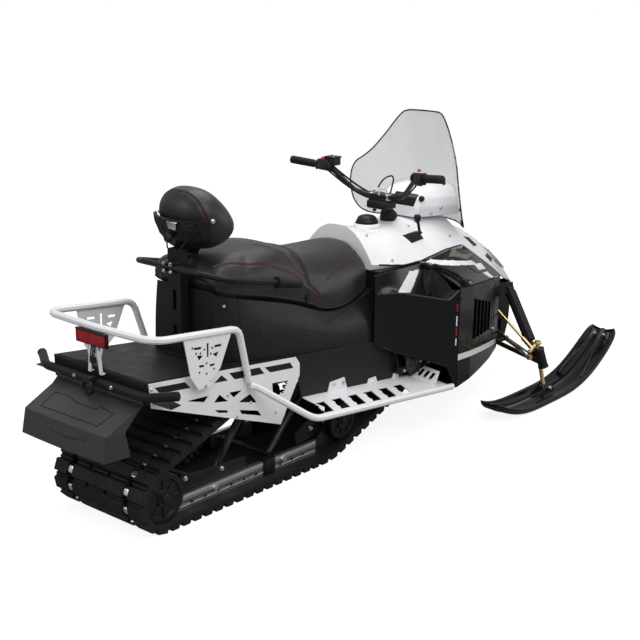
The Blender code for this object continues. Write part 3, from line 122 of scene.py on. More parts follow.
def edit(obj, kind=None, test=None):
    """Open obj in edit mode with all selected, or the vertices, edges or faces that pass test."""
    pick(obj)
    bpy.ops.object.mode_set(mode="EDIT")
    bpy.ops.mesh.select_mode(type=kind or "VERT")
    if test is None:
        bpy.ops.mesh.select_all(action="SELECT")
        return
    bpy.ops.mesh.select_all(action="DESELECT")
    mesh = bmesh.from_edit_mesh(obj.data)
    for part in {"VERT": mesh.verts, "EDGE": mesh.edges, "FACE": mesh.faces}[kind]:
        if test(part):
            part.select_set(True)
    bmesh.update_edit_mesh(obj.data)


def modify(obj, kind, **values):
    pick(obj)
    made = obj.modifiers.new(kind.title(), kind)
    for key, value in values.items():
        setattr(made, key, value)
    if kind == "SUBSURF":
        made.render_levels = made.levels
    bpy.ops.object.modifier_apply(modifier=made.name)
    return obj


def tidy_mesh(obj):
    """Merge doubles, then point the faces outwards."""
    edit(obj)
    bpy.ops.mesh.remove_doubles(threshold=0.00001)
    bpy.ops.mesh.select_all(action="SELECT")
    bpy.ops.mesh.normals_make_consistent(inside=False)
    free()
    return obj


def place(obj):
    pick(obj)
    bpy.ops.object.transform_apply(location=True, rotation=True, scale=True)
    return obj


def settle(obj, name, look, body=CHASSIS, smooth=40):
    """Name a finished piece, give it its finish and make it ride."""
    place(obj)
    obj.name = name
    obj.data.name = name
    obj.data.materials.clear()
    obj.data.materials.append(finish(look))
    bpy.ops.object.shade_smooth_by_angle(angle=math.radians(smooth))
    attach(obj, body)
    return obj


def box(low, high, bevel=0.0, segments=2):
    """Block between two corners with its edges bevelled."""
    low, high = Vector(low), Vector(high)
    free()
    bpy.ops.mesh.primitive_cube_add(size=1, location=(low + high) / 2)
    obj = bpy.context.object
    obj.scale = [abs(v) for v in high - low]
    place(obj)
    edit(obj)
    bpy.ops.mesh.bevel(offset=bevel or min(obj.dimensions) * 0.15, segments=segments, affect="EDGES")
    free()
    return obj


def sheet(outline, thickness, bevel=0.0):
    """Flat plate on an outline of points, given its thickness and softened edges."""
    free()
    bpy.ops.mesh.primitive_circle_add(vertices=len(outline), radius=1, fill_type="NGON")
    obj = bpy.context.object
    for vertex, point in zip(obj.data.vertices, outline):
        vertex.co = point
    modify(obj, "SOLIDIFY", thickness=thickness, offset=0.0)
    if bevel:
        modify(obj, "BEVEL", width=bevel, segments=2, limit_method="ANGLE")
    return obj


def surface(rows):
    """Open surface through rows of points."""
    free()
    bpy.ops.mesh.primitive_grid_add(x_subdivisions=len(rows[0]) - 1, y_subdivisions=len(rows) - 1, size=1)
    obj = bpy.context.object
    flat = [p for row in rows for p in row]
    for vertex, point in zip(obj.data.vertices, flat):
        vertex.co = point
    return obj


def loft(rings):
    """Closed form through equal rings of points."""
    obj = surface([list(ring) + [ring[0]] for ring in rings])
    tidy_mesh(obj)
    for ring in (rings[0], rings[-1]):
        middle = sum((Vector(p) for p in ring), Vector()) / len(ring)
        reach = max((Vector(p) - middle).length for p in ring) + 0.0001
        edit(obj, "EDGE", lambda e: e.is_boundary and all((v.co - middle).length < reach for v in e.verts))
        bpy.ops.mesh.edge_face_add()
        bpy.ops.mesh.inset(thickness=reach * 0.2, depth=0)
    return tidy_mesh(obj)


def turned(profile, centre, axis=(0, 0, 1), steps=24):
    """Solid of revolution; the profile is (radius, height) pairs that end on the axis or where they start."""
    free()
    bpy.ops.mesh.primitive_circle_add(vertices=len(profile), radius=1, fill_type="NOTHING")
    obj = bpy.context.object
    for vertex, (radius, height) in zip(obj.data.vertices, profile):
        vertex.co = (radius, 0, height)
    edit(obj)
    bpy.ops.mesh.spin(steps=steps, angle=2 * math.pi, center=(0, 0, 0), axis=(0, 0, 1))
    free()
    tidy_mesh(obj)
    turn = Vector((0, 0, 1)).rotation_difference(Vector(axis).normalized())
    obj.matrix_world = Matrix.Translation(centre) @ turn.to_matrix().to_4x4()
    return place(obj)


def band(inner, outer, half, bulge):
    """Profile of a ring for turned, half being half its width."""
    return [(inner, -half), (outer, -half), (outer + bulge, 0), (outer, half), (inner, half), (inner, -half)]


def hose(points, radius, sides=10, smooth=True):
    """Round bar or hose along points, closed at both ends."""
    free()
    bpy.ops.curve.primitive_nurbs_path_add(radius=1, location=(0, 0, 0))
    obj = bpy.context.object
    curve = obj.data
    curve.splines.clear()
    spline = curve.splines.new("NURBS" if smooth else "POLY")
    spline.points.add(len(points) - 1)
    for slot, point in zip(spline.points, points):
        slot.co = (*point, 1.0)
    spline.use_endpoint_u = True
    spline.order_u = min(4, len(points))
    spline.resolution_u = 6
    curve.dimensions = "3D"
    curve.bevel_depth = radius
    curve.bevel_resolution = max(0, sides // 4)
    curve.use_fill_caps = True
    pick(obj)
    bpy.ops.object.convert(target="MESH")
    return tidy_mesh(bpy.context.object)


def join(pieces):
    """Join pieces into the first."""
    free()
    for piece in pieces:
        piece.select_set(True)
    bpy.context.view_layer.objects.active = pieces[0]
    if len(pieces) > 1:
        bpy.ops.object.join()
    return bpy.context.object


def copies(source, places):
    """Copy a piece to several places, each with its own mesh, and join the copies."""
    made = []
    for matrix in places:
        twin = source.copy()
        twin.data = source.data.copy()
        twin.matrix_world = matrix
        bpy.context.scene.collection.objects.link(twin)
        made.append(twin)
    bpy.data.objects.remove(source)
    bpy.context.view_layer.update()
    return place(join(made))


def facing(point, normal, spin=0.0):
    """Matrix that puts a piece at a point with its Z axis along normal."""
    turn = Vector((0, 0, 1)).rotation_difference(Vector(normal).normalized()).to_matrix().to_4x4()
    return Matrix.Translation(point) @ turn @ Matrix.Rotation(spin, 4, "Z")


def both(points):
    """Points and their mirror images in Y."""
    return [Vector(p) for p in points] + [Vector((p[0], -p[1], p[2])) for p in points]


def bolts(spots, name, look, radius, body=CHASSIS, socket=False):
    """Bolt heads with washers at (point, normal) spots."""
    head = turned([(0, 0), (radius * 1.35, 0), (radius * 1.35, radius * 0.2), (radius, radius * 0.22),
                   (radius, radius * 0.85), (radius * 0.86, radius), (radius * 0.5, radius),
                   (radius * 0.45, radius * (0.5 if socket else 0.92)), (0, radius * (0.5 if socket else 0.92))],
                  (0, 0, 0), steps=6 if not socket else 12)
    head = copies(head, [facing(p, n, 0.4 * i) for i, (p, n) in enumerate(spots)])
    return settle(head, name, look, body, 30)


def skin(obj):
    """Search tree over an object's faces, with its mesh in the frame."""
    mesh = obj.data
    return BVHTree.FromPolygons([v.co for v in mesh.vertices], [p.vertices for p in mesh.polygons])


def along(points, step):
    """Evenly spaced (point, direction) pairs along a path."""
    pts = [Vector(p) for p in points]
    spots, carry = [], 0.0
    for a, b in zip(pts, pts[1:]):
        span = (b - a).length
        run = carry
        while run < span:
            spots.append((a.lerp(b, run / span), (b - a).normalized()))
            run += step
        carry = run - span
    return spots


def curved(points, count=8):
    """Smooth path through points."""
    pts = [Vector(p) for p in points]
    pts = [pts[0] * 2 - pts[1]] + pts + [pts[-1] * 2 - pts[-2]]
    path = []
    for a, b, c, d in zip(pts, pts[1:], pts[2:], pts[3:]):
        for k in range(count):
            t = k / count
            path.append(0.5 * ((b * 2) + (c - a) * t + (a * 2 - b * 5 + c * 4 - d) * t * t
                               + (b * 3 - a - c * 3 + d) * t ** 3))
    return path + [pts[-2]]


def onto(tree, path, lift=0.0):
    """Path laid on a surface, lifted by a distance; gives (point, normal) pairs."""
    laid = []
    for point in path:
        spot, normal, _, _ = tree.find_nearest(point)
        laid.append((spot + normal * lift, normal))
    return laid


def flank(s, *spots):
    """Points on one side, -1 for the right and 1 for the left, from (x, y, z) spots of the left side."""
    return [at(x, s * y, z) for x, y, z in spots]


def runs(s, *lines, count=6):
    """Paths on one side, each in straight steps between the spots of its line."""
    paths = []
    for line in lines:
        points = flank(s, *line)
        path = []
        for a, b in zip(points, points[1:]):
            path += [a.lerp(b, k / count) for k in range(count)]
        paths.append(path + [points[-1]])
    return paths


def stitches(tree, path, name):
    """Row of stitches sewn along a path on a surface."""
    sizes = bpy.context.scene.snowmobile_sizes
    free()
    bpy.ops.mesh.primitive_cylinder_add(vertices=6, radius=sizes.thread, depth=sizes.stitch)
    thread = place(bpy.context.object)
    edit(thread, "FACE", lambda f: abs(f.normal.z) > 0.9)
    bpy.ops.mesh.bevel(offset=sizes.thread * 0.6, segments=2, affect="EDGES")
    free()
    spots = []
    for point, way in along(path, sizes.stitch + sizes.stitch_gap):
        spot, normal, _, _ = tree.find_nearest(point)
        way = (way - normal * way.dot(normal)).normalized()
        spots.append(facing(spot + normal * sizes.thread * 0.35, way))
    return settle(copies(thread, spots), name, "thread", smooth=60)


def sew(obj, path, depth, width):
    """Press a seam into an object's mesh along a path, with a soft swell beside it."""
    mesh = obj.data
    dense = [p for p, _ in along(path, width * 0.4)]
    tree = BVHTree.FromPolygons(dense, [(i, i + 1, i + 1) for i in range(len(dense) - 1)])
    normals = [v.normal.copy() for v in mesh.vertices]
    for vertex, normal in zip(mesh.vertices, normals):
        spot = tree.find_nearest(vertex.co, width * 4)
        if spot[0] is None:
            continue
        d = spot[3] / width
        press = -math.exp(-d * d * 2.2) + 0.28 * math.exp(-(d - 1.7) ** 2 * 1.6)
        vertex.co += normal * depth * press
    mesh.update()


def swell(obj, pressure, frames, cap):
    """Inflate a closed cover as cloth and keep each point within cap of where it was."""
    before = [v.co.copy() for v in obj.data.vertices]
    pick(obj)
    cloth = obj.modifiers.new("Cloth", "CLOTH")
    cloth.settings.use_pressure = True
    cloth.settings.uniform_pressure_force = pressure
    cloth.settings.effector_weights.gravity = 0.0
    cloth.settings.quality = 3
    cloth.settings.tension_stiffness = 25
    cloth.settings.bending_stiffness = 2.0
    cloth.point_cache.frame_start = 1
    cloth.point_cache.frame_end = frames
    for number in range(1, frames + 1):
        bpy.context.scene.frame_set(number)
    bpy.ops.object.modifier_apply(modifier=cloth.name)
    for vertex, old in zip(obj.data.vertices, before):
        step = vertex.co - old
        vertex.co = old + step * min(1.0, cap / max(step.length, 1e-9))
    obj.data.update()
    bpy.context.scene.frame_set(1)
    return obj


# Finishes
class Finish:
    """A Principled material built from nodes on Object coordinates."""

    def __init__(self, name, tint, roughness, metallic=0.0, **sockets):
        self.material = bpy.data.materials.new(name)
        self.material.use_nodes = True
        self.tree = self.material.node_tree
        self.shader = self.tree.nodes["Principled BSDF"]
        self.spot = self.tree.nodes.new("ShaderNodeTexCoord").outputs["Object"]
        self.tint = tint
        self.set("Metallic", metallic)
        self.set("Roughness", roughness)
        if not metallic:
            self.set("Specular IOR Level", 0.22)
        for key, value in sockets.items():
            self.set(key.replace("_", " "), value)
        self.look = self.shade(tint)

    def set(self, key, value):
        if isinstance(value, bpy.types.NodeSocket):
            self.tree.links.new(value, self.shader.inputs[key])
        else:
            self.shader.inputs[key].default_value = value

    def shade(self, tint):
        made = self.tree.nodes.new("ShaderNodeRGB")
        made.outputs[0].default_value = (*tint, 1.0)
        return made.outputs[0]

    def node(self, kind, props, *inputs):
        made = self.tree.nodes.new("ShaderNode" + kind)
        for key, value in props.items():
            setattr(made, key, value)
        for key, value in inputs:
            if isinstance(value, bpy.types.NodeSocket):
                self.tree.links.new(value, made.inputs[key])
            else:
                made.inputs[key].default_value = value
        return made.outputs

    def math(self, operation, first, second=0.0):
        return self.node("Math", {"operation": operation}, (0, first), (1, second))[0]

    def ramp(self, value, low, high, start=0.0, end=1.0):
        return self.node("MapRange", {}, ("Value", value), ("From Min", low), ("From Max", high),
                         ("To Min", start), ("To Max", end))["Result"]

    def mix(self, share, first, second):
        return self.node("Mix", {"data_type": "RGBA"}, (0, share), (6, first), (7, second))[2]

    def stretch(self, scale):
        return self.node("Mapping", {}, ("Vector", self.spot), ("Scale", scale))[0]

    def noise(self, scale, detail=3.0, rough=0.55, spot=None):
        return self.node("TexNoise", {}, ("Vector", spot or self.spot), ("Scale", scale), ("Detail", detail),
                         ("Roughness", rough))["Fac"]

    def cells(self, scale, feature="F1"):
        return self.node("TexVoronoi", {"feature": feature}, ("Vector", self.spot), ("Scale", scale))["Distance"]

    def vary(self, scale, dark, light):
        """Vary the colour softly, dark and light being factors of it."""
        share = self.ramp(self.noise(scale, 4.0), 0.3, 0.7)
        low = self.shade([c * dark for c in self.tint])
        high = self.shade([min(1.0, c * light) for c in self.tint])
        self.look = self.mix(share, low, high)
        return self

    def rough(self, scale, low, high):
        self.set("Roughness", self.ramp(self.noise(scale, 4.0, 0.6), 0.3, 0.7, low, high))
        return self

    def relief(self, height, depth, edge=0.0):
        """Bump of a real depth over edges rounded by a radius."""
        inputs = [("Height", height), ("Distance", depth), ("Strength", 1.0)]
        if edge:
            inputs.append(("Normal", self.node("Bevel", {"samples": 4}, ("Radius", edge))[0]))
        self.set("Normal", self.node("Bump", {}, *inputs)[0])
        return self

    def dust(self, amount, tint=(0.16, 0.16, 0.165)):
        """Faint dust in patches and on top of the form."""
        up = self.node("SeparateXYZ", {}, (0, self.node("NewGeometry", {})["Normal"]))["Z"]
        share = self.math("MULTIPLY", self.ramp(up, 0.2, 1.0), self.ramp(self.noise(5.0, 6.0), 0.4, 0.75))
        self.look = self.mix(self.math("MULTIPLY", share, amount), self.look, self.shade(tint))
        return self

    def patch(self, corners, tint, waver=0.0, near=None):
        """Paint a convex patch, given by its (x, z) corners from the rear axle, on the look."""
        spot = self.spot
        if waver:
            drift = self.node("TexNoise", {}, ("Vector", self.spot), ("Scale", 38.0), ("Detail", 2.0))["Color"]
            drift = self.node("VectorMath", {"operation": "SUBTRACT"}, (0, drift), (1, (0.5, 0.5, 0.5)))[0]
            drift = self.node("VectorMath", {"operation": "SCALE"}, (0, drift), ("Scale", waver))[0]
            spot = self.node("VectorMath", {"operation": "ADD"}, (0, spot), (1, drift))[0]
        points = [(x - AXLE_X, z) for x, z in corners]
        area = sum(a[0] * b[1] - b[0] * a[1] for a, b in zip(points, points[1:] + points[:1]))
        if area < 0:
            points.reverse()
        share = 1.0
        for a, b in zip(points, points[1:] + points[:1]):
            run = math.dist(a, b)
            nx, nz = -(b[1] - a[1]) / run, (b[0] - a[0]) / run
            reach = self.node("VectorMath", {"operation": "DOT_PRODUCT"}, (0, spot), (1, (nx, 0.0, nz)))["Value"]
            inside = self.ramp(reach, nx * a[0] + nz * a[1] - 0.0005, nx * a[0] + nz * a[1] + 0.0005)
            share = self.math("MULTIPLY", inside, share)
        if near is not None:
            y = self.math("ABSOLUTE", self.node("SeparateXYZ", {}, (0, self.spot))["Y"])
            share = self.math("MULTIPLY", share, self.ramp(y, near[0], near[1]))
        self.look = self.mix(share, self.look, self.shade(tint))
        self.share = share
        return self

    def done(self):
        self.set("Base Color", self.look)
        return self.material


def paint(name, tint, roughness=0.32, edge=0.0012, peel=0.00012, coat=0.0):
    made = Finish(name, tint, roughness, Coat_Weight=coat, Coat_Roughness=0.06)
    made.vary(2.5, 0.94, 1.03).rough(9.0, roughness * 0.85, roughness * 1.2)
    return made.relief(made.noise(420.0, 2.0), peel, edge)


def moulded(name, tint, roughness=0.5, edge=0.002, grain=520.0, depth=0.00025):
    made = Finish(name, tint, roughness)
    made.vary(4.0, 0.82, 1.18).rough(14.0, roughness * 0.85, roughness * 1.15).dust(0.12)
    height = made.math("ADD", made.cells(grain), made.noise(grain * 0.6))
    return made.relief(height, depth, edge)


def rubber(name, tint, roughness=0.72, grain=260.0):
    made = Finish(name, tint, roughness)
    made.vary(7.0, 0.7, 1.35).rough(22.0, roughness * 0.85, roughness * 1.1).dust(0.25, (0.09, 0.09, 0.092))
    return made.relief(made.noise(grain, 5.0, 0.65), 0.0006, 0.0015)


def metal(name, tint, roughness=0.3, grain=(1.0, 1.0, 1.0), edge=0.0008):
    made = Finish(name, tint, roughness, 1.0)
    streak = made.noise(90.0, 4.0, 0.6, made.stretch(grain))
    made.look = made.mix(made.ramp(streak, 0.3, 0.75), made.shade([c * 0.8 for c in tint]),
                         made.shade([min(1.0, c * 1.12) for c in tint]))
    made.set("Roughness", made.ramp(streak, 0.25, 0.8, roughness * 0.7, roughness * 1.4))
    return made.relief(streak, 0.00012, edge)


def hide(name, tint, roughness=0.36):
    """Upholstery leather: cell grain, fine creases and a soft change of tone."""
    made = Finish(name, tint, roughness, Sheen_Weight=0.05, Sheen_Roughness=0.5, Specular_IOR_Level=0.40)
    made.vary(6.0, 0.8, 1.3)
    grain = made.cells(330.0)
    crease = made.noise(46.0, 5.0, 0.62)
    made.set("Roughness", made.ramp(made.math("ADD", grain, crease), 0.5, 1.5, roughness * 0.82, roughness * 1.2))
    height = made.math("ADD", made.math("MULTIPLY", grain, 0.7), made.math("MULTIPLY", crease, 0.8))
    return made.relief(height, 0.0007)


def thread(name, tint):
    made = Finish(name, tint, 0.6)
    made.vary(60.0, 0.75, 1.2)
    twist = made.node("TexWave", {"wave_type": "BANDS", "bands_direction": "DIAGONAL"}, ("Vector", made.spot),
                      ("Scale", 420.0), ("Distortion", 1.0))["Fac"]
    return made.relief(twist, 0.0003)


FINISHES = {}


def finish(name):
    return FINISHES[name].material


class SNOWMOBILE_OT_finishes(bpy.types.Operator):
    """Make the finishes and put them on the solids that keep their shape."""

    bl_idname = "snowmobile.finishes"
    bl_label = "Finishes"

    def execute(self, context):
        hues = context.scene.snowmobile_colours
        white, gloss, satin = tuple(hues.white), tuple(hues.gloss_black), tuple(hues.satin_black)
        FINISHES.update({
            "white paint": paint("White powder coat", white, 0.34),
            "white plastic": paint("White moulded plastic", white, 0.28, 0.004, 0.00008, 0.25),
            "gloss black": paint("Gloss black plastic", gloss, 0.20, 0.003, 0.00005, 0.10),
            "ski plastic": paint("Ski plastic", gloss, 0.20, 0.004, 0.00018, 0.15),
            "black paint": paint("Black powder coat", (0.010, 0.010, 0.011), 0.36, 0.0015, 0.0002),
            "satin black": moulded("Satin black plastic", satin, 0.42, 0.006),
            "flap plastic": moulded("Flap plastic", (0.027, 0.0255, 0.025), 0.34, 0.003, 700.0),
            "hard black": moulded("Hard black plastic", (0.010, 0.010, 0.011), 0.36, 0.0015, 300.0, 0.0001),
            "rubber": rubber("Track rubber", (0.012, 0.012, 0.0125)),
            "grip rubber": rubber("Grip rubber", (0.011, 0.011, 0.012), 0.6, 500.0),
            "aluminium": metal("Extruded aluminium", (0.66, 0.67, 0.69), 0.30, (0.05, 3.0, 3.0)),
            "steel": metal("Zinc plated steel", (0.68, 0.69, 0.70), 0.22),
            "clip steel": metal("Worn clip steel", (0.74, 0.75, 0.76), 0.30),
            # Lighter copy of the guard's gloss black for its lip: a real lip bead with a painted highlight in its
            # colour
            "lip": paint("Lip plastic lightened as painted highlight", (0.030, 0.032, 0.035), 0.18, 0.001, 0.00004, 0.5),
            "strap": rubber("Seat strap", (0.014, 0.014, 0.0145), 0.55, 700.0),
            "dark steel": metal("Dark steel", (0.07, 0.07, 0.075), 0.42),
            "yellow zinc": metal("Yellow zinc plate", tuple(hues.zinc), 0.28),
            "engine": metal("Cast engine", (0.05, 0.05, 0.055), 0.5),
            "leather": hide("Seat leather", tuple(hues.leather)),
            "thread": thread("Seat thread", tuple(hues.thread)),
            "red": paint("Red plastic", tuple(hues.red), 0.25, 0.0008, 0.00005, 0.4),
        })
        FINISHES["flap plastic"].set("Specular IOR Level", 0.55)
        guard = paint("Knee guard plastic", gloss, 0.22, 0.003, 0.00005, 0.08)
        # Painted highlight: a white patch on the guard's inner upper face
        guard.patch([(1.440, 0.760), (1.512, 0.756), (1.426, 0.672), (1.328, 0.672)], white, 0.012, (0.312, 0.308))
        for low, high, tint in ((0.588, 0.622, tuple(hues.red)), (0.520, 0.566, white),
                                (0.474, 0.512, tuple(hues.red)), (0.430, 0.462, white)):
            guard.patch([(1.5535, low), (1.561, low), (1.561, high), (1.5535, high)], tint)
        panel = paint("Side panel plastic", gloss, 0.24, 0.002, 0.00005, 0.08)
        # Painted highlight: a white band just under the side panel's lower fold
        panel.patch([(1.574, 0.384), (2.262, 0.262), (2.276, 0.232), (1.574, 0.355)], white)
        shoulder = paint("Shoulder plastic", gloss, 0.20, 0.002, 0.00005, 0.10)
        # Painted highlights: white bands along the shoulder's folds
        shoulder.patch([(1.570, 0.794), (1.930, 0.730), (1.966, 0.706), (1.570, 0.774)], white, 0.012)
        shoulder.patch([(1.930, 0.716), (2.060, 0.690), (2.092, 0.658), (1.958, 0.684)], white, 0.012)
        shoulder.patch([(1.992, 0.662), (2.085, 0.649), (2.152, 0.604), (2.078, 0.622)], white, 0.012)
        rails = metal("Slide rails", (0.010, 0.010, 0.011), 0.34, (0.05, 3.0, 3.0))
        rails.patch([(-0.040, 0.030), (-0.040, 0.101), (0.902, 0.101), (0.902, 0.030)],
                    (0.60, 0.61, 0.63), 0.0, (0.176, 0.177))
        rails.set("Metallic", rails.share)
        mesh = moulded("Vent mesh", (0.115, 0.100, 0.088), 0.5, 0.001)
        weave = mesh.cells(210.0, "DISTANCE_TO_EDGE")
        mesh.look = mesh.mix(mesh.ramp(weave, 0.08, 0.16), mesh.shade((0.24, 0.21, 0.18)),
                             mesh.shade((0.04, 0.035, 0.03)))
        mesh.relief(weave, 0.0008)
        FINISHES.update({"guard": guard, "panel": panel, "shoulder": shoulder, "rails": rails, "mesh": mesh})
        glass = Finish("Smoke polycarbonate", tuple(hues.smoke), 0.06, IOR=1.2)
        haze = glass.ramp(glass.noise(1.6, 3.0, 0.5, glass.stretch((0.6, 3.0, 0.3))), 0.3, 0.75)
        glass.look = glass.mix(haze, glass.shade([c * 0.92 for c in glass.tint]), glass.shade(glass.tint))
        glass.set("Alpha", glass.ramp(haze, 0.0, 1.0, 0.46, 0.36))
        glass.relief(glass.noise(40.0, 2.0), 0.00002)
        lens = Finish("Red lens", (0.30, 0.0015, 0.003), 0.10, Coat_Weight=0.4, Emission_Strength=0.02)
        lens.set("Emission Color", (0.8, 0.01, 0.01, 1.0))
        lens.vary(30.0, 0.5, 1.3)
        ribs = lens.node("TexWave", {"bands_direction": "Y"}, ("Vector", lens.spot), ("Scale", 55.0))["Fac"]
        lens.relief(ribs, 0.0008)
        lamp = Finish("Clear lamp", (0.55, 0.56, 0.58), 0.05, 0.3, Coat_Weight=0.8)
        lamp.vary(20.0, 0.6, 1.2)
        lamp.relief(lamp.node("TexWave", {"bands_direction": "Z"}, ("Vector", lamp.spot),
                              ("Scale", 40.0))["Fac"], 0.0006)
        FINISHES.update({"glass": glass, "red lens": lens, "clear lens": lamp})
        for made in FINISHES.values():
            made.done()
        for node, name in NODE_FINISHES.items():
            slots = NODES[node].data.materials
            slots.clear()
            slots.append(finish(name))
        return {"FINISHED"}


NODE_FINISHES = {
    "track": "rubber", "rear_idler_wheels": "hard black", "front_idler_wheels": "hard black",
    "drive_sprockets": "hard black", "slide_rails": "rails", "tunnel": "satin black",
    "side_plate_right": "white paint", "side_plate_left": "white paint",
    "running_board_right": "white paint", "running_board_left": "white paint", "rack": "white paint",
    "tail_lamp": "red lens", "rear_bumper": "black paint", "snow_flap": "flap plastic", "seat": "leather",
    "seat_base": "satin black", "backrest_cushion": "leather", "backrest_frame": "hard black",
    "console": "white plastic", "hood": "white plastic", "headlamp": "clear lens", "fuel_cap": "hard black",
    "gear_lever": "hard black", "windshield": "glass", "instrument_pod": "white plastic",
    "knee_guard_right": "guard", "knee_guard_left": "guard", "side_panel_right": "panel",
    "side_panel_left": "panel", "shoulder_panel_right": "shoulder", "shoulder_panel_left": "shoulder",
    "engine_block": "engine", "lower_hull": "satin black", "front_frame": "black paint",
    "lower_arm_right": "black paint", "lower_arm_left": "black paint", "upper_link_right": "yellow zinc",
    "upper_link_left": "yellow zinc", "spindle_right": "yellow zinc", "spindle_left": "yellow zinc",
    "ski_right": "ski plastic", "ski_left": "ski plastic", "tie_rod_right": "yellow zinc",
    "tie_rod_left": "yellow zinc", "handlebar": "black paint",
}


# Upholstery
SEAT = (
    # x, top, bottom, half width at the top, half width at the bottom
    (0.336, 0.938, 0.850, 0.146, 0.168), (0.350, 0.952, 0.840, 0.164, 0.184),
    (0.385, 0.962, 0.826, 0.178, 0.198), (0.500, 0.964, 0.796, 0.185, 0.205),
    (0.600, 0.972, 0.774, 0.184, 0.207), (0.680, 0.974, 0.751, 0.181, 0.208),
    (0.740, 0.961, 0.734, 0.176, 0.209), (0.800, 0.936, 0.716, 0.170, 0.210),
    (0.865, 0.911, 0.690, 0.165, 0.211), (0.930, 0.896, 0.661, 0.161, 0.212),
    (1.060, 0.891, 0.646, 0.154, 0.212), (1.190, 0.899, 0.676, 0.134, 0.200),
    (1.240, 0.899, 0.692, 0.116, 0.186), (1.259, 0.893, 0.704, 0.108, 0.176),
)


def seat_ring(x, top, bottom, upper, lower):
    tall = min(1.0, (top - bottom) / 0.170)
    half = [(0.0, top), (upper * 0.40, top - 0.002), (upper * 0.72, top - 0.010),
            (upper * 0.93, top - 0.027 * tall), ((upper + lower) / 2 + 0.002, top - 0.058 * tall),
            (lower + 0.001, top - 0.100 * tall), (lower + 0.003, bottom + 0.050 * tall), (lower - 0.001, bottom
                                                                                          + 0.014 * tall),
            (lower * 0.94, bottom + 0.002), (lower * 0.50, bottom + 0.001), (0.0, bottom + 0.001)]
    return [at(x, -y, z) for y, z in half] + [at(x, y, z) for y, z in reversed(half[1:-1])]


SEAT_SEAMS = (
    # The two seams that meet behind the strap on each side, and the top panel's edge seam
    ((0.640, 0.080, 0.976), (0.675, 0.110, 0.968), (0.707, 0.145, 0.943), (0.749, 0.183, 0.898),
     (0.819, 0.206, 0.830), (0.889, 0.217, 0.724), (0.905, 0.217, 0.690)),
    ((0.360, 0.140, 0.940), (0.449, 0.156, 0.943), (0.522, 0.178, 0.931), (0.613, 0.192, 0.911),
     (0.712, 0.204, 0.868), (0.815, 0.210, 0.808), (0.893, 0.215, 0.746)),
    ((0.960, 0.200, 0.800), (1.060, 0.186, 0.846), (1.150, 0.168, 0.866), (1.225, 0.146, 0.872),
     (1.253, 0.110, 0.880)),
)


class SNOWMOBILE_OT_seat(bpy.types.Operator):
    """Make the two-level seat cover with its seams, stitching and strap."""

    bl_idname = "snowmobile.seat"
    bl_label = "Seat"

    def execute(self, context):
        sizes = context.scene.snowmobile_sizes
        cover = loft([seat_ring(*row) for row in SEAT])
        modify(cover, "SUBSURF", levels=3)
        swell(cover, 4.0, 12, sizes.seat_swell)
        modify(cover, "SMOOTH", factor=0.4, iterations=2)
        tree = skin(cover)
        runs = []
        for seam in SEAT_SEAMS:
            for s in (-1, 1):
                path = [p for p, _ in onto(tree, curved([at(x, s * y, z) for x, y, z in seam], 10))]
                sew(cover, path, sizes.seam_depth, 0.006)
                runs.append(path)
        for x in (0.800, 0.830):
            ring = [p for p, _ in onto(tree, [at(x + abs(y) * 0.10, y, 0.93) for y in (-0.15, -0.1, 0, 0.1, 0.15)])]
            sew(cover, ring, sizes.seam_depth * 0.5, 0.010)
        settle(cover, "seat_cover", "leather", smooth=80)
        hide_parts("seat")
        tree = skin(cover)
        for number, path in enumerate(runs):
            spots = onto(tree, path)
            for share in (-0.004, 0.004):
                offset = [p + n.cross((q - p).normalized() if (q - p).length > 1e-6 else n) * share
                          for (p, n), (q, _) in zip(spots, spots[1:])]
                stitches(tree, offset, f"seat_stitches_{number}_{'a' if share < 0 else 'b'}")
        edge = [at(x, -(lower + 0.002), bottom + 0.012) for x, _, bottom, _, lower in SEAT]
        for s, side in LEFT_RIGHT:
            path = [Vector((p.x, p.y * -s, p.z)) for p in edge]
            path = [p for p, _ in onto(tree, curved(path, 4), 0.0005)]
            welt = hose(path, 0.0032, 8)
            settle(welt, "seat_welt_" + side, "leather", smooth=80)
        ring = []
        for k in range(33):
            v = -1.12 + 2.24 * k / 32
            y = 0.205 * math.sin(v * 1.3) if abs(v) < 1 else math.copysign(0.23, v)
            z = 0.93 if abs(v) < 0.8 else 0.93 - (abs(v) - 0.8) * 0.75
            ring.append(at(0.846 - 0.02 * abs(v), y, z))
        laid = onto(tree, ring, 0.0022)
        rows = []
        for (p, n), (q, _) in zip(laid, laid[1:] + [laid[-2]]):
            across = n.cross((q - p).normalized())
            across = Vector((abs(across.x), across.y * 0.2, 0)).normalized()
            rows.append([p + across * w for w in (-0.013, -0.006, 0.006, 0.013)])
        strap = surface(rows)
        modify(strap, "SOLIDIFY", thickness=0.004, offset=1)
        modify(strap, "SUBSURF", levels=1)
        tidy_mesh(strap)
        settle(strap, "seat_strap", "strap", smooth=60)
        return {"FINISHED"}


BACK = (
    # height, depth, half width, forward shift
    (0.003, 0.110, 0.084, 0.062), (0.020, 0.170, 0.116, 0.065), (0.045, 0.203, 0.138, 0.066),
    (0.070, 0.216, 0.150, 0.064), (0.100, 0.213, 0.153, 0.056), (0.130, 0.202, 0.151, 0.047),
    (0.160, 0.186, 0.143, 0.040), (0.185, 0.166, 0.131, 0.034), (0.205, 0.144, 0.116, 0.031),
    (0.223, 0.116, 0.094, 0.028), (0.236, 0.084, 0.070, 0.025), (0.243, 0.050, 0.046, 0.023),
)
BACK_FOOT = at(0.375, 0.0, 0.985)
BACK_LEAN = Matrix.Rotation(math.radians(-12), 3, "Y")


def back_point(x, y, height):
    return BACK_LEAN @ Vector((x, y, height)) + BACK_FOOT


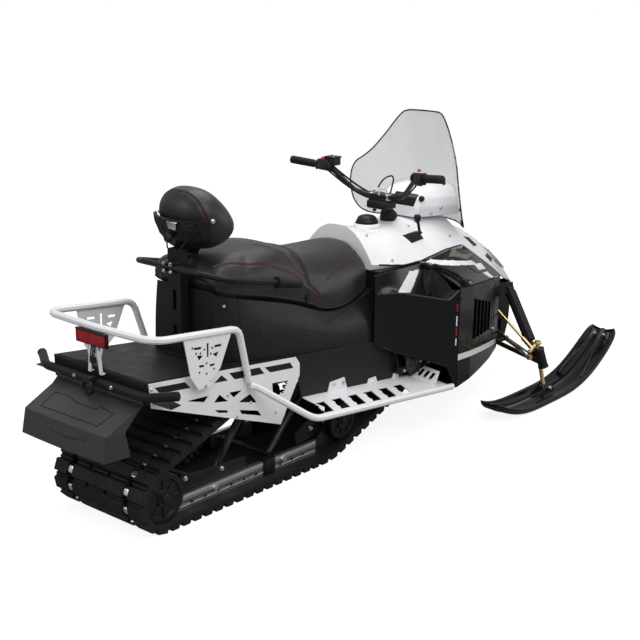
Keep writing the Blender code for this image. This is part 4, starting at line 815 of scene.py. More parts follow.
class SNOWMOBILE_OT_backrest(bpy.types.Operator):
    """Make the backrest cushion with its seams, piping and stitching."""

    bl_idname = "snowmobile.backrest"
    bl_label = "Backrest"

    def execute(self, context):
        sizes = context.scene.snowmobile_sizes
        rings = []
        for height, depth, half, shift in BACK:
            ring = []
            for k in range(20):
                t = 2 * math.pi * k / 20
                c, s = math.cos(t), math.sin(t)
                ring.append(back_point(math.copysign(abs(c) ** 0.8, c) * depth / 2 + shift,
                                       math.copysign(abs(s) ** 0.85, s) * half, height))
            rings.append(ring)
        pad = loft(rings)
        modify(pad, "SUBSURF", levels=3)
        swell(pad, 4.0, 12, sizes.back_swell * 0.6)
        modify(pad, "SMOOTH", factor=0.4, iterations=2)
        tree = skin(pad)
        side = [(shift - depth * 0.30, half * 0.94, height) for height, depth, half, shift in BACK[4:]]
        side = [(x - 0.012, y * (1.0 + 0.04 * i), z) for i, (x, y, z) in enumerate(side[:6])]
        loop = [back_point(x, -y, z) for x, y, z in side] + [back_point(-0.004, 0.0, 0.248)]
        loop += [back_point(x, y, z) for x, y, z in reversed(side)]
        path = [p for p, _ in onto(tree, curved(loop, 8))]
        sew(pad, path, sizes.seam_depth, 0.006)
        front = [back_point(0.150, 0.118 * math.sin(v), 0.118 + 0.090 * math.cos(v))
                 for v in (2 * math.pi * k / 32 for k in range(33))]
        front = [p for p, _ in onto(tree, front)]
        sew(pad, front, sizes.seam_depth, 0.006)
        settle(pad, "backrest_pad", "leather", smooth=80)
        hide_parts("backrest_cushion")
        tree = skin(pad)
        cord = hose([p for p, _ in onto(tree, path, 0.0008)], 0.0022, 8)
        settle(cord, "backrest_piping", "leather", smooth=80)
        for shift, tag in ((0.0065, "a"), (-0.0065, "b")):
            moved = [p + Vector((shift, 0, -abs(shift) * 0.4)) for p in path]
            stitches(tree, moved, "backrest_stitches_" + tag)
        stitches(tree, front, "backrest_stitches_front")
        return {"FINISHED"}


# Bodywork
def solid(node):
    """Copy of a solid as one joined mesh, with its flat triangles made faces again."""
    free()
    obj = NODES[node].copy()
    obj.data = NODES[node].data.copy()
    bpy.context.scene.collection.objects.link(obj)
    for old in list(obj.modifiers):
        obj.modifiers.remove(old)
    obj.parent = None
    obj.matrix_world = NODES[node].matrix_world
    place(obj)
    edit(obj)
    bpy.ops.mesh.customdata_custom_splitnormals_clear()
    bpy.ops.mesh.remove_doubles(threshold=0.00002)
    bpy.ops.mesh.select_all(action="SELECT")
    bpy.ops.mesh.tris_convert_to_quads(face_threshold=math.radians(50), shape_threshold=math.radians(60))
    free()
    return obj


def softened(node, look, fold, crease):
    """Smooth panel in place of a faceted solid; edges bent by more than fold degrees keep their crease."""
    obj = solid(node)
    mesh = bmesh.new()
    mesh.from_mesh(obj.data)
    layer = mesh.edges.layers.float.get("crease_edge") or mesh.edges.layers.float.new("crease_edge")
    for edge in mesh.edges:
        if len(edge.link_faces) != 2 or edge.calc_face_angle(0.0) > math.radians(fold):
            edge[layer] = crease
    mesh.to_mesh(obj.data)
    mesh.free()
    modify(obj, "SUBSURF", levels=2, use_limit_surface=False)
    settle(obj, node + "_shape", look)
    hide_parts(node)


def inlay(tree, corners, name, look, lift=0.0008, thickness=0.0012, counts=(12, 8)):
    """Thin plate laid on a surface between four corners, following its curve."""
    a, b, c, d = [Vector(p) for p in corners]
    rows = []
    for i in range(counts[1] + 1):
        v = i / counts[1]
        rows.append([p for p, _ in onto(tree, [a.lerp(b, u / counts[0]).lerp(d.lerp(c, u / counts[0]), v)
                                               for u in range(counts[0] + 1)], lift)])
    plate = surface(rows)
    tidy_mesh(plate)
    modify(plate, "SOLIDIFY", thickness=thickness, offset=0)
    modify(plate, "BEVEL", width=thickness * 0.3, segments=2, limit_method="ANGLE")
    return settle(plate, name, look)


def beads(tree, paths, radius, name, look, lift=0.0, smooth=True):
    """Round beads laid along paths on a surface."""
    made = [hose([p for p, _ in onto(tree, path, lift)], radius, 8, smooth) for path in paths]
    return settle(join(made), name, look, smooth=60)


def screws(tree, points, name, radius):
    """Socket screws at points on a surface."""
    return bolts(onto(tree, points), name, "steel", radius, socket=True)


# Solid, finish, angle above which an edge is a fold, and how tight the folds stay
SOFT_PANELS = (
    ("console", "white plastic", 14.0, 0.55), ("hood", "white plastic", 35.0, 0.86),
    ("instrument_pod", "white plastic", 14.0, 0.55), ("seat_base", "satin black", 35.0, 0.86),
    ("knee_guard_right", "guard", 35.0, 0.86), ("knee_guard_left", "guard", 35.0, 0.86),
    ("shoulder_panel_right", "shoulder", 35.0, 0.86), ("shoulder_panel_left", "shoulder", 35.0, 0.86),
)


class SNOWMOBILE_OT_bodywork(bpy.types.Operator):
    """Make the smooth console, hood, pod, seat base, guards and shoulder panels."""

    bl_idname = "snowmobile.bodywork"
    bl_label = "Bodywork"

    def execute(self, context):
        for node, look, fold, crease in SOFT_PANELS:
            softened(node, look, fold, crease)
        return {"FINISHED"}


CONSOLE_EDGE = ((1.290, 0.236, 0.800), (1.420, 0.254, 0.790), (1.550, 0.262, 0.789), (1.660, 0.262, 0.801),
                (1.740, 0.260, 0.813), (1.900, 0.240, 0.802))


class SNOWMOBILE_OT_console_fittings(bpy.types.Operator):
    """Make the fuel cap and its ring, and the console's screws, lever plate and lower edges."""

    bl_idname = "snowmobile.console_fittings"
    bl_label = "Console Fittings"

    def execute(self, context):
        sizes = context.scene.snowmobile_sizes
        console = skin(bpy.data.objects["console_shape"])
        low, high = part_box("fuel_cap")
        middle = Vector(((low[0] + high[0]) / 2, 0, low[2]))
        ring = turned([(0.053, -0.006), (0.053, 0.0105), (0.055, 0.0125), (0.0575, 0.0125), (0.060, 0.009),
                       (0.0605, -0.006), (0.053, -0.006)], middle, steps=48)
        settle(ring, "cap_ring", "white plastic")
        cap = turned([(0, 0.050), (0.016, 0.0495), (0.032, 0.0455), (0.042, 0.038), (0.0475, 0.026),
                      (0.0505, 0.0215), (0.0505, 0.004), (0.048, 0.0005), (0, 0.0005)], middle, steps=48)
        edit(cap, "FACE", lambda f: abs(f.normal.z) < 0.3 and f.calc_center_median().z < middle.z + 0.022)
        bpy.ops.mesh.inset(thickness=0.0009, depth=-0.0009, use_individual=True)
        free()
        settle(cap, "cap_dome", "hard black")
        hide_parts("fuel_cap")
        screws(console, both([at(1.379, -0.222, 0.813), at(1.843, -0.206, 0.850), at(1.330, -0.130, 0.935),
                              at(1.640, -0.120, 0.930)]), "console_screws", sizes.screw)
        for s, side in LEFT_RIGHT:
            if s < 0:
                plate = flank(s, (1.550, 0.150, 0.892), (1.656, 0.150, 0.892), (1.652, 0.192, 0.862),
                              (1.562, 0.194, 0.858))
                inlay(console, plate, "lever_boot_plate", "hard black", 0.0006, 0.003)
            beads(console, [curved(flank(s, *CONSOLE_EDGE))], 0.0035, "console_edge_" + side, "hard black",
                  -0.001)
        return {"FINISHED"}


class SNOWMOBILE_OT_gear_lever(bpy.types.Operator):
    """Make the gear lever's shaft, knob and collar."""

    bl_idname = "snowmobile.gear_lever"
    bl_label = "Gear Lever"

    def execute(self, context):
        low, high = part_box("gear_lever")
        foot = Vector(((low[0] * 0.35 + high[0] * 0.65), (low[1] + high[1]) / 2, low[2] + 0.004))
        top = Vector((low[0] * 0.6 + high[0] * 0.4, (low[1] + high[1]) / 2, high[2] - 0.020))
        way = (top - foot).normalized()
        stem = turned([(0, 0), (0.012, 0), (0.012, 0.004), (0.0065, 0.008), (0.0065, (top - foot).length - 0.012),
                       (0, (top - foot).length - 0.010)], foot, way, 20)
        knob = turned([(0, -0.018), (0.009, -0.018), (0.013, -0.010), (0.0165, 0.004), (0.0155, 0.013),
                       (0.0095, 0.018), (0, 0.019)], top, (0, 0, 1), 32)
        settle(join([stem, knob]), "gear_lever_shape", "hard black", smooth=50)
        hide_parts("gear_lever")
        return {"FINISHED"}


# Corners of the hood's vents on the left: tag, then four points
VENTS = (
    ("upper", ((2.030, 0.168, 0.822), (2.100, 0.140, 0.796), (2.160, 0.154, 0.748), (2.096, 0.182, 0.760))),
    ("lower", ((2.205, 0.182, 0.694), (2.262, 0.150, 0.692), (2.322, 0.146, 0.655), (2.262, 0.178, 0.650))),
)
VENT_SLATS = 4


class SNOWMOBILE_OT_hood_fittings(bpy.types.Operator):
    """Make the hood's vents and creases, and the pod's screws, dial trim and key switch."""

    bl_idname = "snowmobile.hood_fittings"
    bl_label = "Hood Fittings"

    def execute(self, context):
        sizes = context.scene.snowmobile_sizes
        hood = skin(bpy.data.objects["hood_shape"])
        pod = skin(bpy.data.objects["instrument_pod_shape"])
        for s, side in LEFT_RIGHT:
            for tag, spots in VENTS:
                a, b, c, d = flank(s, *spots)
                inlay(hood, [a, b, c, d], f"vent_{tag}_{side}", "hard black", 0.0008, 0.0024)
                lines = []
                for k in range(1, VENT_SLATS + 1):
                    u = k / (VENT_SLATS + 1)
                    start, end = a.lerp(d, u), b.lerp(c, u)
                    lines.append([start.lerp(end, 0.08 + 0.84 * v / 6) for v in range(7)])
                beads(hood, lines, 0.0022, f"vent_slats_{tag}_{side}", "gloss black", 0.003)
            crease = [at(1.945 + 0.60 * k / 12, s * (0.086 - 0.040 * k / 12), 0.95 - 0.02 * k) for k in range(13)]
            beads(hood, [crease], 0.003, "hood_crease_" + side, "white plastic", -0.0016)
        screws(pod, both([at(1.813, -0.190, 0.973), at(1.760, -0.190, 0.950)]), "pod_screws",
               sizes.screw)
        dial = flank(1, (1.700, 0.045, 1.000), (1.700, -0.085, 1.000), (1.752, -0.085, 1.044),
                     (1.752, 0.045, 1.044))
        inlay(pod, dial, "dial_trim", "gloss black", 0.001, 0.004)
        key = turned([(0, 0), (0.014, 0), (0.014, 0.006), (0.0105, 0.009), (0.0105, 0.014), (0.004, 0.016),
                      (0, 0.016)], onto(pod, [at(1.731, -0.125, 1.032)])[0][0], (-0.8, 0, 0.6), 24)
        settle(key, "key_switch", "hard black")
        return {"FINISHED"}


# Rear fittings
class SNOWMOBILE_OT_tail_lamp(bpy.types.Operator):
    """Make the tail lamp with its housing, visor, wires and plugs."""

    bl_idname = "snowmobile.tail_lamp"
    bl_label = "Tail Lamp"

    def execute(self, context):
        lens = box(at(-0.1335, -0.079, 0.7155), at(-0.118, 0.079, 0.7575), 0.004, 3)
        edit(lens, "FACE", lambda f: f.normal.x < -0.9)
        bpy.ops.mesh.inset(thickness=0.003, depth=-0.0015)
        bpy.ops.mesh.subdivide(number_cuts=3)
        free()
        settle(lens, "lamp_lens", "red lens", smooth=30)
        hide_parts("tail_lamp")
        case = [box(at(-0.130, -0.0845, 0.7105), at(-0.115, 0.0845, 0.7155), 0.0015),
                box(at(-0.1325, -0.0845, 0.7575), at(-0.115, 0.0845, 0.764), 0.0022),
                box(at(-0.130, -0.0845, 0.714), at(-0.115, -0.0795, 0.759), 0.0015),
                box(at(-0.130, 0.0795, 0.714), at(-0.115, 0.0845, 0.759), 0.0015)]
        settle(join(case), "lamp_housing", "hard black")
        wires = []
        for k in range(3):
            y = 0.012 - 0.010 * k
            path = flank(1, (-0.1165, y, 0.712), (-0.1205, y - 0.004, 0.690), (-0.1215, y + 0.006, 0.660),
                         (-0.1205, y + 0.010 * k, 0.635), (-0.109, y * 0.6, 0.6225), (-0.090, y, 0.6215),
                         (-0.070, y, 0.6205))
            wires.append(hose(path, 0.0024, 8))
        wires.append(box(at(-0.1245, -0.012, 0.640), at(-0.1155, 0.018, 0.664), 0.002))
        wires.append(box(at(-0.106, 0.045, 0.6215), at(-0.072, 0.075, 0.629), 0.003))
        wires.append(box(at(-0.100, 0.088, 0.6215), at(-0.064, 0.110, 0.627), 0.003))
        settle(join(wires), "lamp_wires", "hard black", smooth=60)
        return {"FINISHED"}


FLAP_OUTLINE = (
    (-0.238, 0.172, 0.468), (-0.168, 0.170, 0.502), (-0.166, 0.093, 0.503), (-0.180, 0.031, 0.495),
    (-0.180, -0.081, 0.496), (-0.163, -0.084, 0.504), (-0.172, -0.166, 0.498), (-0.238, -0.152, 0.468),
    (-0.238, 0.172, 0.468),
)
STEP_Z = 0.5465
DECK_END = -0.0955


class SNOWMOBILE_OT_rear_fittings(bpy.types.Operator):
    """Make the flap's pressed lines, the bumper's steps, caps and bolts, and the deck's toothed rear edge."""

    bl_idname = "snowmobile.rear_fittings"
    bl_label = "Rear Fittings"

    def execute(self, context):
        sizes = context.scene.snowmobile_sizes
        flap = skin(NODES["snow_flap"])
        beads(flap, runs(1, FLAP_OUTLINE), 0.0024, "flap_outline", "satin black", -0.0006,
              smooth=False)
        groove = [at(-0.290, y, 0.402 + 0.032 * abs(y / 0.15) ** 2.2) for y in (v * 0.0145 for v in range(-10, 11))]
        beads(flap, [groove, [p + Vector((0, 0, 0.009)) for p in groove]], 0.0016, "flap_groove_lips", "dark steel",
              -0.0011)
        fold = [at(-0.2675, v * 0.0243, 0.4505) for v in range(-10, 11)]
        beads(flap, [fold], 0.0022, "flap_fold", "flap plastic", -0.0016)
        for s, side in LEFT_RIGHT:
            outline = []
            for k in range(7):
                y = 0.285 + 0.014 * k
                outline += flank(s, (-0.088, y, STEP_Z), (-0.099, y + 0.007, STEP_Z))
            outline += flank(s, (-0.088, 0.383, STEP_Z), (-0.040, 0.375, STEP_Z), (-0.020, 0.2695, STEP_Z),
                             (-0.088, 0.2695, STEP_Z))
            settle(sheet(outline, 0.003, 0.0004), "bumper_step_" + side, "black paint", smooth=30)
            cap = turned([(0, 0.004), (0.012, 0.004), (0.0165, 0.001), (0.0165, -0.012), (0, -0.012)],
                         at(-0.0625, s * 0.3865, 0.5868), (0.45, s, 0.11), 28)
            settle(cap, "bumper_cap_" + side, "rubber", smooth=50)
        bumper = skin(NODES["rear_bumper"])
        hits = [bumper.ray_cast(at(-0.40, s * 0.105, 0.572), Vector((1, 0, 0)))[0] for s in (-1, 1)]
        bolts([(hit, Vector((-1, 0, 0))) for hit in hits if hit], "bumper_bolts", "steel",
              sizes.screw)
        outline = []
        for k in range(31):
            y = -0.2505 + 0.0167 * k
            outline += flank(1, (DECK_END, y, 0.6125), (DECK_END, y + 0.0083, 0.6085))
        outline += flank(1, (DECK_END, 0.2505, 0.598), (DECK_END, -0.2505, 0.598))
        settle(sheet(outline, 0.0022), "deck_rear_edge", "black paint", smooth=30)
        return {"FINISHED"}


# (x, z) of bolts and of the rack panels' small holes, each shown as a dark disc of painted shade; each hole's rim
# has to lie on the panel with it
PLATE_BOLTS = ((0.000, 0.520), (0.152, 0.490), (0.300, 0.470), (0.430, 0.420), (0.570, 0.330), (0.640, 0.585),
               (-0.080, 0.590), (0.690, 0.560), (0.200, 0.400), (0.350, 0.372), (-0.060, 0.300))
RACK_HOLES = ((0.086, 0.742), (0.245, 0.744), (0.088, 0.712), (0.106, 0.688), (0.128, 0.684), (0.117, 0.664),
              (0.160, 0.672), (0.180, 0.672), (0.122, 0.612), (0.196, 0.610), (0.222, 0.684), (0.205, 0.664),
              (0.148, 0.694), (0.188, 0.692), (0.158, 0.640), (0.158, 0.600))
HOLE_RIM = ((0, 0), (0.006, 0), (-0.006, 0), (0, 0.006), (0, -0.006))
BOARD_BOLTS = ((0.930, 0.360), (0.958, 0.378), (0.996, 0.350), (1.201, 0.303))


class SNOWMOBILE_OT_plate_fittings(bpy.types.Operator):
    """Make the bolts of the side plates, rack and running boards, and dark discs of painted shade for the small
    holes of the rack's panels.
    """

    bl_idname = "snowmobile.plate_fittings"
    bl_label = "Plate Fittings"

    def execute(self, context):
        sizes = context.scene.snowmobile_sizes
        rack = skin(NODES["rack"])
        spots, hole_shades = [], []
        for s, side in LEFT_RIGHT:
            inward = Vector((0, -s, 0))
            plate = skin(NODES["side_plate_" + side])
            for p, n in onto(plate, [at(x, s * 0.30, z) for x, z in PLATE_BOLTS]):
                if abs(n.y) > 0.9:
                    spots.append((p, Vector((0, s, 0))))
            spots += onto(rack, [at(0.153, s * 0.34, 0.553)])
            for x, z in RACK_HOLES:
                hits = [rack.ray_cast(at(x + dx, s * 0.36, z + dz), inward, 0.12) for dx, dz in HOLE_RIM]
                if all(hit[0] and abs(hit[1].y) > 0.9 for hit in hits):
                    hole_shades.append(hits[0][:2])
        bolts(spots, "plate_bolts", "steel", 0.0048)
        # Dark discs on the panel stand in for the holes: painted shade
        dot = turned([(0, -0.001), (0.0042, -0.001), (0.0042, 0.0004), (0, 0.0004)], (0, 0, 0), (0, 0, 1), 12)
        settle(copies(dot, [facing(p, n) for p, n in hole_shades]), "rack_hole_shade", "hard black")
        for s, side in LEFT_RIGHT:
            board = skin(NODES["running_board_" + side])
            hits = [board.ray_cast(at(x, s * 0.60, z), Vector((0, -s, 0)))[0] for x, z in BOARD_BOLTS]
            tabs = [(hit, Vector((0, s, 0))) for hit in hits if hit is not None and abs(hit.y) < 0.29]
            if tabs:
                bolts(tabs, "board_bolts_" + side, "steel", sizes.bolt)
        return {"FINISHED"}


SHELL_RIBS = (
    ((0.28, 0.042, 1.010), (0.28, 0.085, 1.045), (0.28, 0.128, 1.078), (0.29, 0.146, 1.122)),
    ((0.27, 0.050, 1.050), (0.28, 0.118, 1.092)), ((0.27, 0.055, 1.083), (0.28, 0.124, 1.112)),
    ((0.27, 0.050, 1.050), (0.27, 0.055, 1.083)), ((0.28, 0.118, 1.092), (0.28, 0.124, 1.112)),
)
GRIP_RINGS = 11


class SNOWMOBILE_OT_backrest_fittings(bpy.types.Operator):
    """Make the backrest shell's ribs, clip and knob, the post's bolts and the grab rail's grips."""

    bl_idname = "snowmobile.backrest_fittings"
    bl_label = "Backrest Fittings"

    def execute(self, context):
        sizes = context.scene.snowmobile_sizes
        shell = skin(NODES["backrest_frame"])
        clip = join([sheet(flank(1, *outline), 0.0022, 0.0006) for outline in (
            ((0.262, -0.040, 1.108), (0.260, 0.010, 1.110), (0.2635, 0.004, 1.084), (0.2655, -0.034, 1.080)),
            ((0.262, -0.040, 1.108), (0.260, 0.010, 1.110), (0.278, 0.010, 1.1125), (0.279, -0.040, 1.1105)))])
        settle(clip, "shell_clip", "steel", smooth=30)
        for s, side in LEFT_RIGHT:
            beads(shell, runs(s, *SHELL_RIBS, count=5), 0.003, "shell_ribs_" + side, "hard black",
                  smooth=False)
        bolts([(at(0.352, s * 0.1462, 1.118), Vector((-0.35, s, 0.1))) for s in (-1, 1)], "shell_bolts", "steel",
              sizes.bolt)
        knob = turned([(0, 0), (0.008, 0), (0.008, 0.010), (0.019, 0.012), (0.021, 0.018), (0.019, 0.026),
                       (0.010, 0.028), (0, 0.028)], at(0.286, 0.010, 1.046), (-1, 0, 0.1), 16)
        settle(knob, "post_knob", "hard black", smooth=25)
        clamp = [box(at(0.249, -0.034, low), at(0.286, 0.034, high), 0.002)
                 for low, high in ((0.948, 0.9565), (0.9135, 0.922))]
        settle(join(clamp), "rail_clamp", "black paint")
        bolts([(at(0.2485, y, z), Vector((-1, 0, 0))) for y in (-0.020, 0.018) for z in (0.950, 0.920)],
              "clamp_bolts", "steel", 0.0062)
        for s, side in LEFT_RIGHT:
            start, end = flank(s, (0.600, 0.250, 0.8556), (0.735, 0.250, 0.827))
            way = (end - start).normalized()
            ring = turned([(0.0165, -0.0042), (0.0186, -0.0022), (0.0186, 0.0022), (0.0165, 0.0042),
                           (0.015, 0.0042), (0.015, -0.0042), (0.0165, -0.0042)], (0, 0, 0))
            grip = copies(ring, [facing(start.lerp(end, 0.06 + 0.088 * k), way) for k in range(GRIP_RINGS)])
            flange = turned(band(0.012, 0.023, 0.003, 0.0015), start - way * 0.004, way, 28)
            settle(join([grip, flange]), "rail_grip_" + side, "grip rubber")
        return {"FINISHED"}


# Lines on the seat base's left side
BASE_FOLDS = (
    ((0.436, 0.24, 0.823), (0.435, 0.24, 0.631)), ((0.355, 0.22, 0.866), (0.345, 0.22, 0.774)),
    ((0.925, 0.27, 0.546), (0.992, 0.27, 0.496), (1.285, 0.29, 0.463)),
    ((0.925, 0.27, 0.640), (0.988, 0.27, 0.655), (1.222, 0.27, 0.746)),
)
BASE_CREASES = (
    ((0.500, 0.24, 0.716), (0.520, 0.24, 0.690), (0.545, 0.25, 0.630), (0.570, 0.26, 0.596)),
    ((0.520, 0.24, 0.716), (0.920, 0.25, 0.575)),
)


class SNOWMOBILE_OT_base_fittings(bpy.types.Operator):
    """Make the seat base's folds, creases, bolts and corner plates."""

    bl_idname = "snowmobile.base_fittings"
    bl_label = "Base Fittings"

    def execute(self, context):
        sizes = context.scene.snowmobile_sizes
        base = skin(bpy.data.objects["seat_base_shape"])
        for s, side in LEFT_RIGHT:
            beads(base, runs(s, *BASE_FOLDS), 0.0026, "base_folds_" + side, "satin black", -0.001,
                  smooth=False)
            beads(base, runs(s, *BASE_CREASES), 0.004, "base_creases_" + side, "satin black", -0.0024)
            bolts(onto(base, [at(0.372, s * 0.19, 0.792)]), "base_bolt_" + side, "steel", sizes.bolt)
            corners = flank(s, (0.352, 0.19, 0.820), (0.404, 0.20, 0.816), (0.402, 0.20, 0.766),
                            (0.352, 0.19, 0.770))
            inlay(base, corners, "base_plate_" + side, "hard black", 0.0004, 0.003, (6, 6))
        return {"FINISHED"}


# Track and slide frame
BELT = ((0.0, 0.135, 0.100), (0.900, 0.335, 0.300), (1.400, 0.300, 0.090), (0.550, 0.375, 0.065))
BELT_T = 0.015
LUGS = 60


def belt_places(shift=0.5):
    """Matrices at the middle of each lug on the belt's outer face: X along, Y across, Z outwards."""
    path, count = [], len(BELT)
    turns = []
    for (x0, z0, r0), (x1, z1, r1) in zip(BELT, BELT[1:] + BELT[:1]):
        turns.append(math.atan2(z1 - z0, x1 - x0) - math.pi / 2 - math.asin((r1 - r0) / math.hypot(x1 - x0,
                                                                                                   z1 - z0)))
    for i, (x, z, r) in enumerate(BELT):
        start, end = turns[i - 1], turns[i]
        while end < start:
            end += 2 * math.pi
        path.append(("arc", x, z, r, start, r * (end - start)))
        nx, nz, nr = BELT[(i + 1) % count]
        a = (x + r * math.cos(end), z + r * math.sin(end))
        b = (nx + nr * math.cos(end), nz + nr * math.sin(end))
        path.append(("run", a, b, end, 0.0, math.dist(a, b)))
    total = sum(run[5] for run in path)
    made = []
    for k in range(LUGS):
        s = (k + shift) * total / LUGS
        for run in path:
            if s <= run[5]:
                break
            s -= run[5]
        if run[0] == "arc":
            t = run[4] + s / run[3]
            x, z = run[1] + run[3] * math.cos(t), run[2] + run[3] * math.sin(t)
        else:
            t = run[3]
            x = run[1][0] + (run[2][0] - run[1][0]) * s / run[5]
            z = run[1][1] + (run[2][1] - run[1][1]) * s / run[5]
        out = Vector((math.cos(t), 0, math.sin(t)))
        way = Vector((-math.sin(t), 0, math.cos(t)))
        turn = Matrix((way, out.cross(way), out)).transposed().to_4x4()
        made.append(Matrix.Translation(at(x, 0, z) + out * BELT_T) @ turn)
    return made


class SNOWMOBILE_OT_track_fittings(bpy.types.Operator):
    """Make the track's steel clips, lug ribs, low lugs at half pitch and inner drive knobs."""

    bl_idname = "snowmobile.track_fittings"
    bl_label = "Track Fittings"

    def execute(self, context):
        places = belt_places()
        clip = box((-0.015, -0.015, -0.0004), (0.015, 0.015, 0.015), 0.004, 2)
        edit(clip, "FACE", lambda f: f.normal.z > 0.9)
        bpy.ops.mesh.inset(thickness=0.004, depth=0.001)
        free()
        settle(copies(clip, [m @ Matrix.Translation((0, y, 0)) for m in places for y in (-0.160, 0.160)]),
               "track_clips", "clip steel")
        rib = box((-0.0225, -0.0024, -0.001), (0.0225, 0.0024, 0.0155), 0.0018, 1)
        edit(rib, "VERT", lambda v: v.co.z > 0.008)
        bpy.ops.transform.resize(value=(0.86, 0.8, 1.0))
        free()
        spots = [s * y for s in (-1, 1) for y in (0.180, 0.212, 0.244, 0.030, 0.065, 0.100, 0.135)]
        settle(copies(rib, [m @ Matrix.Translation((0, y, 0)) for m in places for y in spots]), "track_ribs",
               "rubber", smooth=30)
        low = box((-0.008, -0.037, -0.001), (0.008, 0.037, 0.012), 0.002, 1)
        edit(low, "VERT", lambda v: v.co.z > 0.006)
        bpy.ops.transform.resize(value=(0.6, 0.97, 1.0))
        free()
        settle(copies(low, [m @ Matrix.Translation((0, y, 0)) for m in belt_places(0.0)
                            for y in (-0.2105, -0.105, 0.0, 0.105, 0.2105)]), "track_low_lugs", "rubber",
               smooth=30)
        knob = box((-0.011, -0.0085, -0.015), (0.011, 0.0085, 0.0005), 0.003, 2)
        edit(knob, "VERT", lambda v: v.co.z < -0.006)
        bpy.ops.transform.resize(value=(0.55, 0.6, 1.0))
        free()
        settle(copies(knob, [m @ Matrix.Translation((0, y, -BELT_T)) for m in places for y in (-0.135, 0.135)]),
               "track_knobs", "rubber")
        return {"FINISHED"}


# Node, distance ahead of the rear axle, height of the axle and radius
IDLER_WHEELS = (("rear_idler_wheels", 0.0, 0.135, 0.096), ("front_idler_wheels", 1.040, 0.158, 0.081))


class SNOWMOBILE_OT_wheel_fittings(bpy.types.Operator):
    """Make the idler wheels' hub caps, rims and spokes."""

    bl_idname = "snowmobile.wheel_fittings"
    bl_label = "Wheel Fittings"

    def execute(self, context):
        for name, x, z, r in IDLER_WHEELS:
            for s, side in LEFT_RIGHT:
                face = at(x, s * 0.2352, z)
                hub = turned([(0, 0.0105), (0.015, 0.0105), (0.018, 0.0085), (0.0195, 0.003), (0.026, 0.002),
                              (0.029, 0.0035), (0.0325, 0.0035), (0.034, -0.002), (0, -0.002)], face, (0, s, 0), 32)
                rim = turned([(r - 0.021, -0.003), (r - 0.019, 0.0012), (r - 0.006, 0.0012), (r - 0.004, -0.001),
                              (r - 0.004, -0.003), (r - 0.021, -0.003)], face, (0, s, 0), 48)
                tall = r * 0.74 - 0.024
                spoke = box((0.026, -0.0075, -0.0075), (0.026 + tall, 0.0075, -0.0012), 0.002)
                fan = copies(spoke, [facing(face, (0, s, 0), math.tau * k / 8) for k in range(8)])
                settle(join([hub, rim, fan]), f"{name}_face_{side}", "hard black")
        return {"FINISHED"}


RAIL_FACE = 0.1982
BRACKET_Y = 0.1745
REAR_BRACKET = ((0.120, 0.094), (0.135, 0.166), (0.200, 0.160), (0.360, 0.146), (0.490, 0.142), (0.500, 0.094))
FRONT_BRACKET = ((0.800, 0.100), (0.790, 0.150), (0.860, 0.185), (0.960, 0.200), (1.040, 0.196), (1.000, 0.110))
BRACKET_BOLTS = ((0.158, 0.149), (0.355, 0.131), (0.890, 0.150), (0.975, 0.160))
SLIDE_SHOCKS = (("rear", (0.330, 0.0, 0.112), (0.520, 0.0, 0.300)),
                ("front", (0.860, 0.0, 0.150), (0.985, 0.0, 0.330)))
COIL_TURNS = 7


class SNOWMOBILE_OT_rail_fittings(bpy.types.Operator):
    """Make the slide rails' ridges, dark strips of painted shade for their grooves, bolts, clamps, brackets, shock
    absorbers and rods.
    """

    bl_idname = "snowmobile.rail_fittings"
    bl_label = "Rail Fittings"

    def execute(self, context):
        for s, side in LEFT_RIGHT:
            # The hard black strips between the ridges are painted shade of the rails' grooves
            for levels, name, look in (((0.086, 0.050), "rail_ridges_", "aluminium"),
                                       ((0.070, 0.064), "rail_groove_shade_", "hard black")):
                strips = [box(at(0.075, s * (RAIL_FACE - 0.002), z - 0.0016),
                              at(0.900, s * (RAIL_FACE + 0.0012), z + 0.0016), 0.0006, 1) for z in levels]
                settle(join(strips), name + side, look, smooth=30)
            bolts([(at(0.10 + 0.072 * k, s * RAIL_FACE, 0.058), Vector((0, s, 0))) for k in range(11)],
                  "rail_bolts_" + side, "dark steel", 0.0048)
            clamp = box(at(0.575, s * 0.174, 0.030), at(0.640, s * 0.206, 0.104), 0.004)
            brackets = [sheet([at(x, s * BRACKET_Y, z) for x, z in outline], 0.005, 0.0008)
                        for outline in (REAR_BRACKET, FRONT_BRACKET)]
            settle(join([clamp, *brackets]), "rail_brackets_" + side, "black paint", smooth=30)
            bolts([(at(x, s * (BRACKET_Y + 0.003), z), Vector((0, s, 0))) for x, z in BRACKET_BOLTS],
                  "bracket_bolts_" + side, "steel", 0.0082)
        for name, low, high in SLIDE_SHOCKS:
            foot, top = at(*low), at(*high)
            way, span = (top - foot).normalized(), (top - foot).length
            tube = turned([(0, 0), (0.012, 0), (0.012, 0.02), (0.019, 0.024), (0.019, span * 0.55),
                           (0.008, span * 0.56), (0.008, span - 0.02), (0.013, span - 0.018), (0.013, span),
                           (0, span)], foot, way, 24)
            turn = facing(foot, way)
            coil = []
            for k in range(COIL_TURNS * 12 + 1):
                t = k * math.pi / 6
                rise = 0.030 + (span - 0.06) * t / (COIL_TURNS * math.tau)
                coil.append(turn @ Vector((0.026 * math.cos(t), 0.026 * math.sin(t), rise)))
            settle(join([tube, hose(coil, 0.0045, 8)]), f"slide_shock_{name}", "hard black",
                   smooth=50)
        rods = [hose(flank(s, (0.335, 0.168, 0.115), (0.400, 0.166, 0.250), (0.530, 0.160, 0.385)), 0.0075, 10,
                     False) for s in (-1, 1)]
        settle(join(rods), "slide_rods", "black paint", smooth=50)
        return {"FINISHED"}


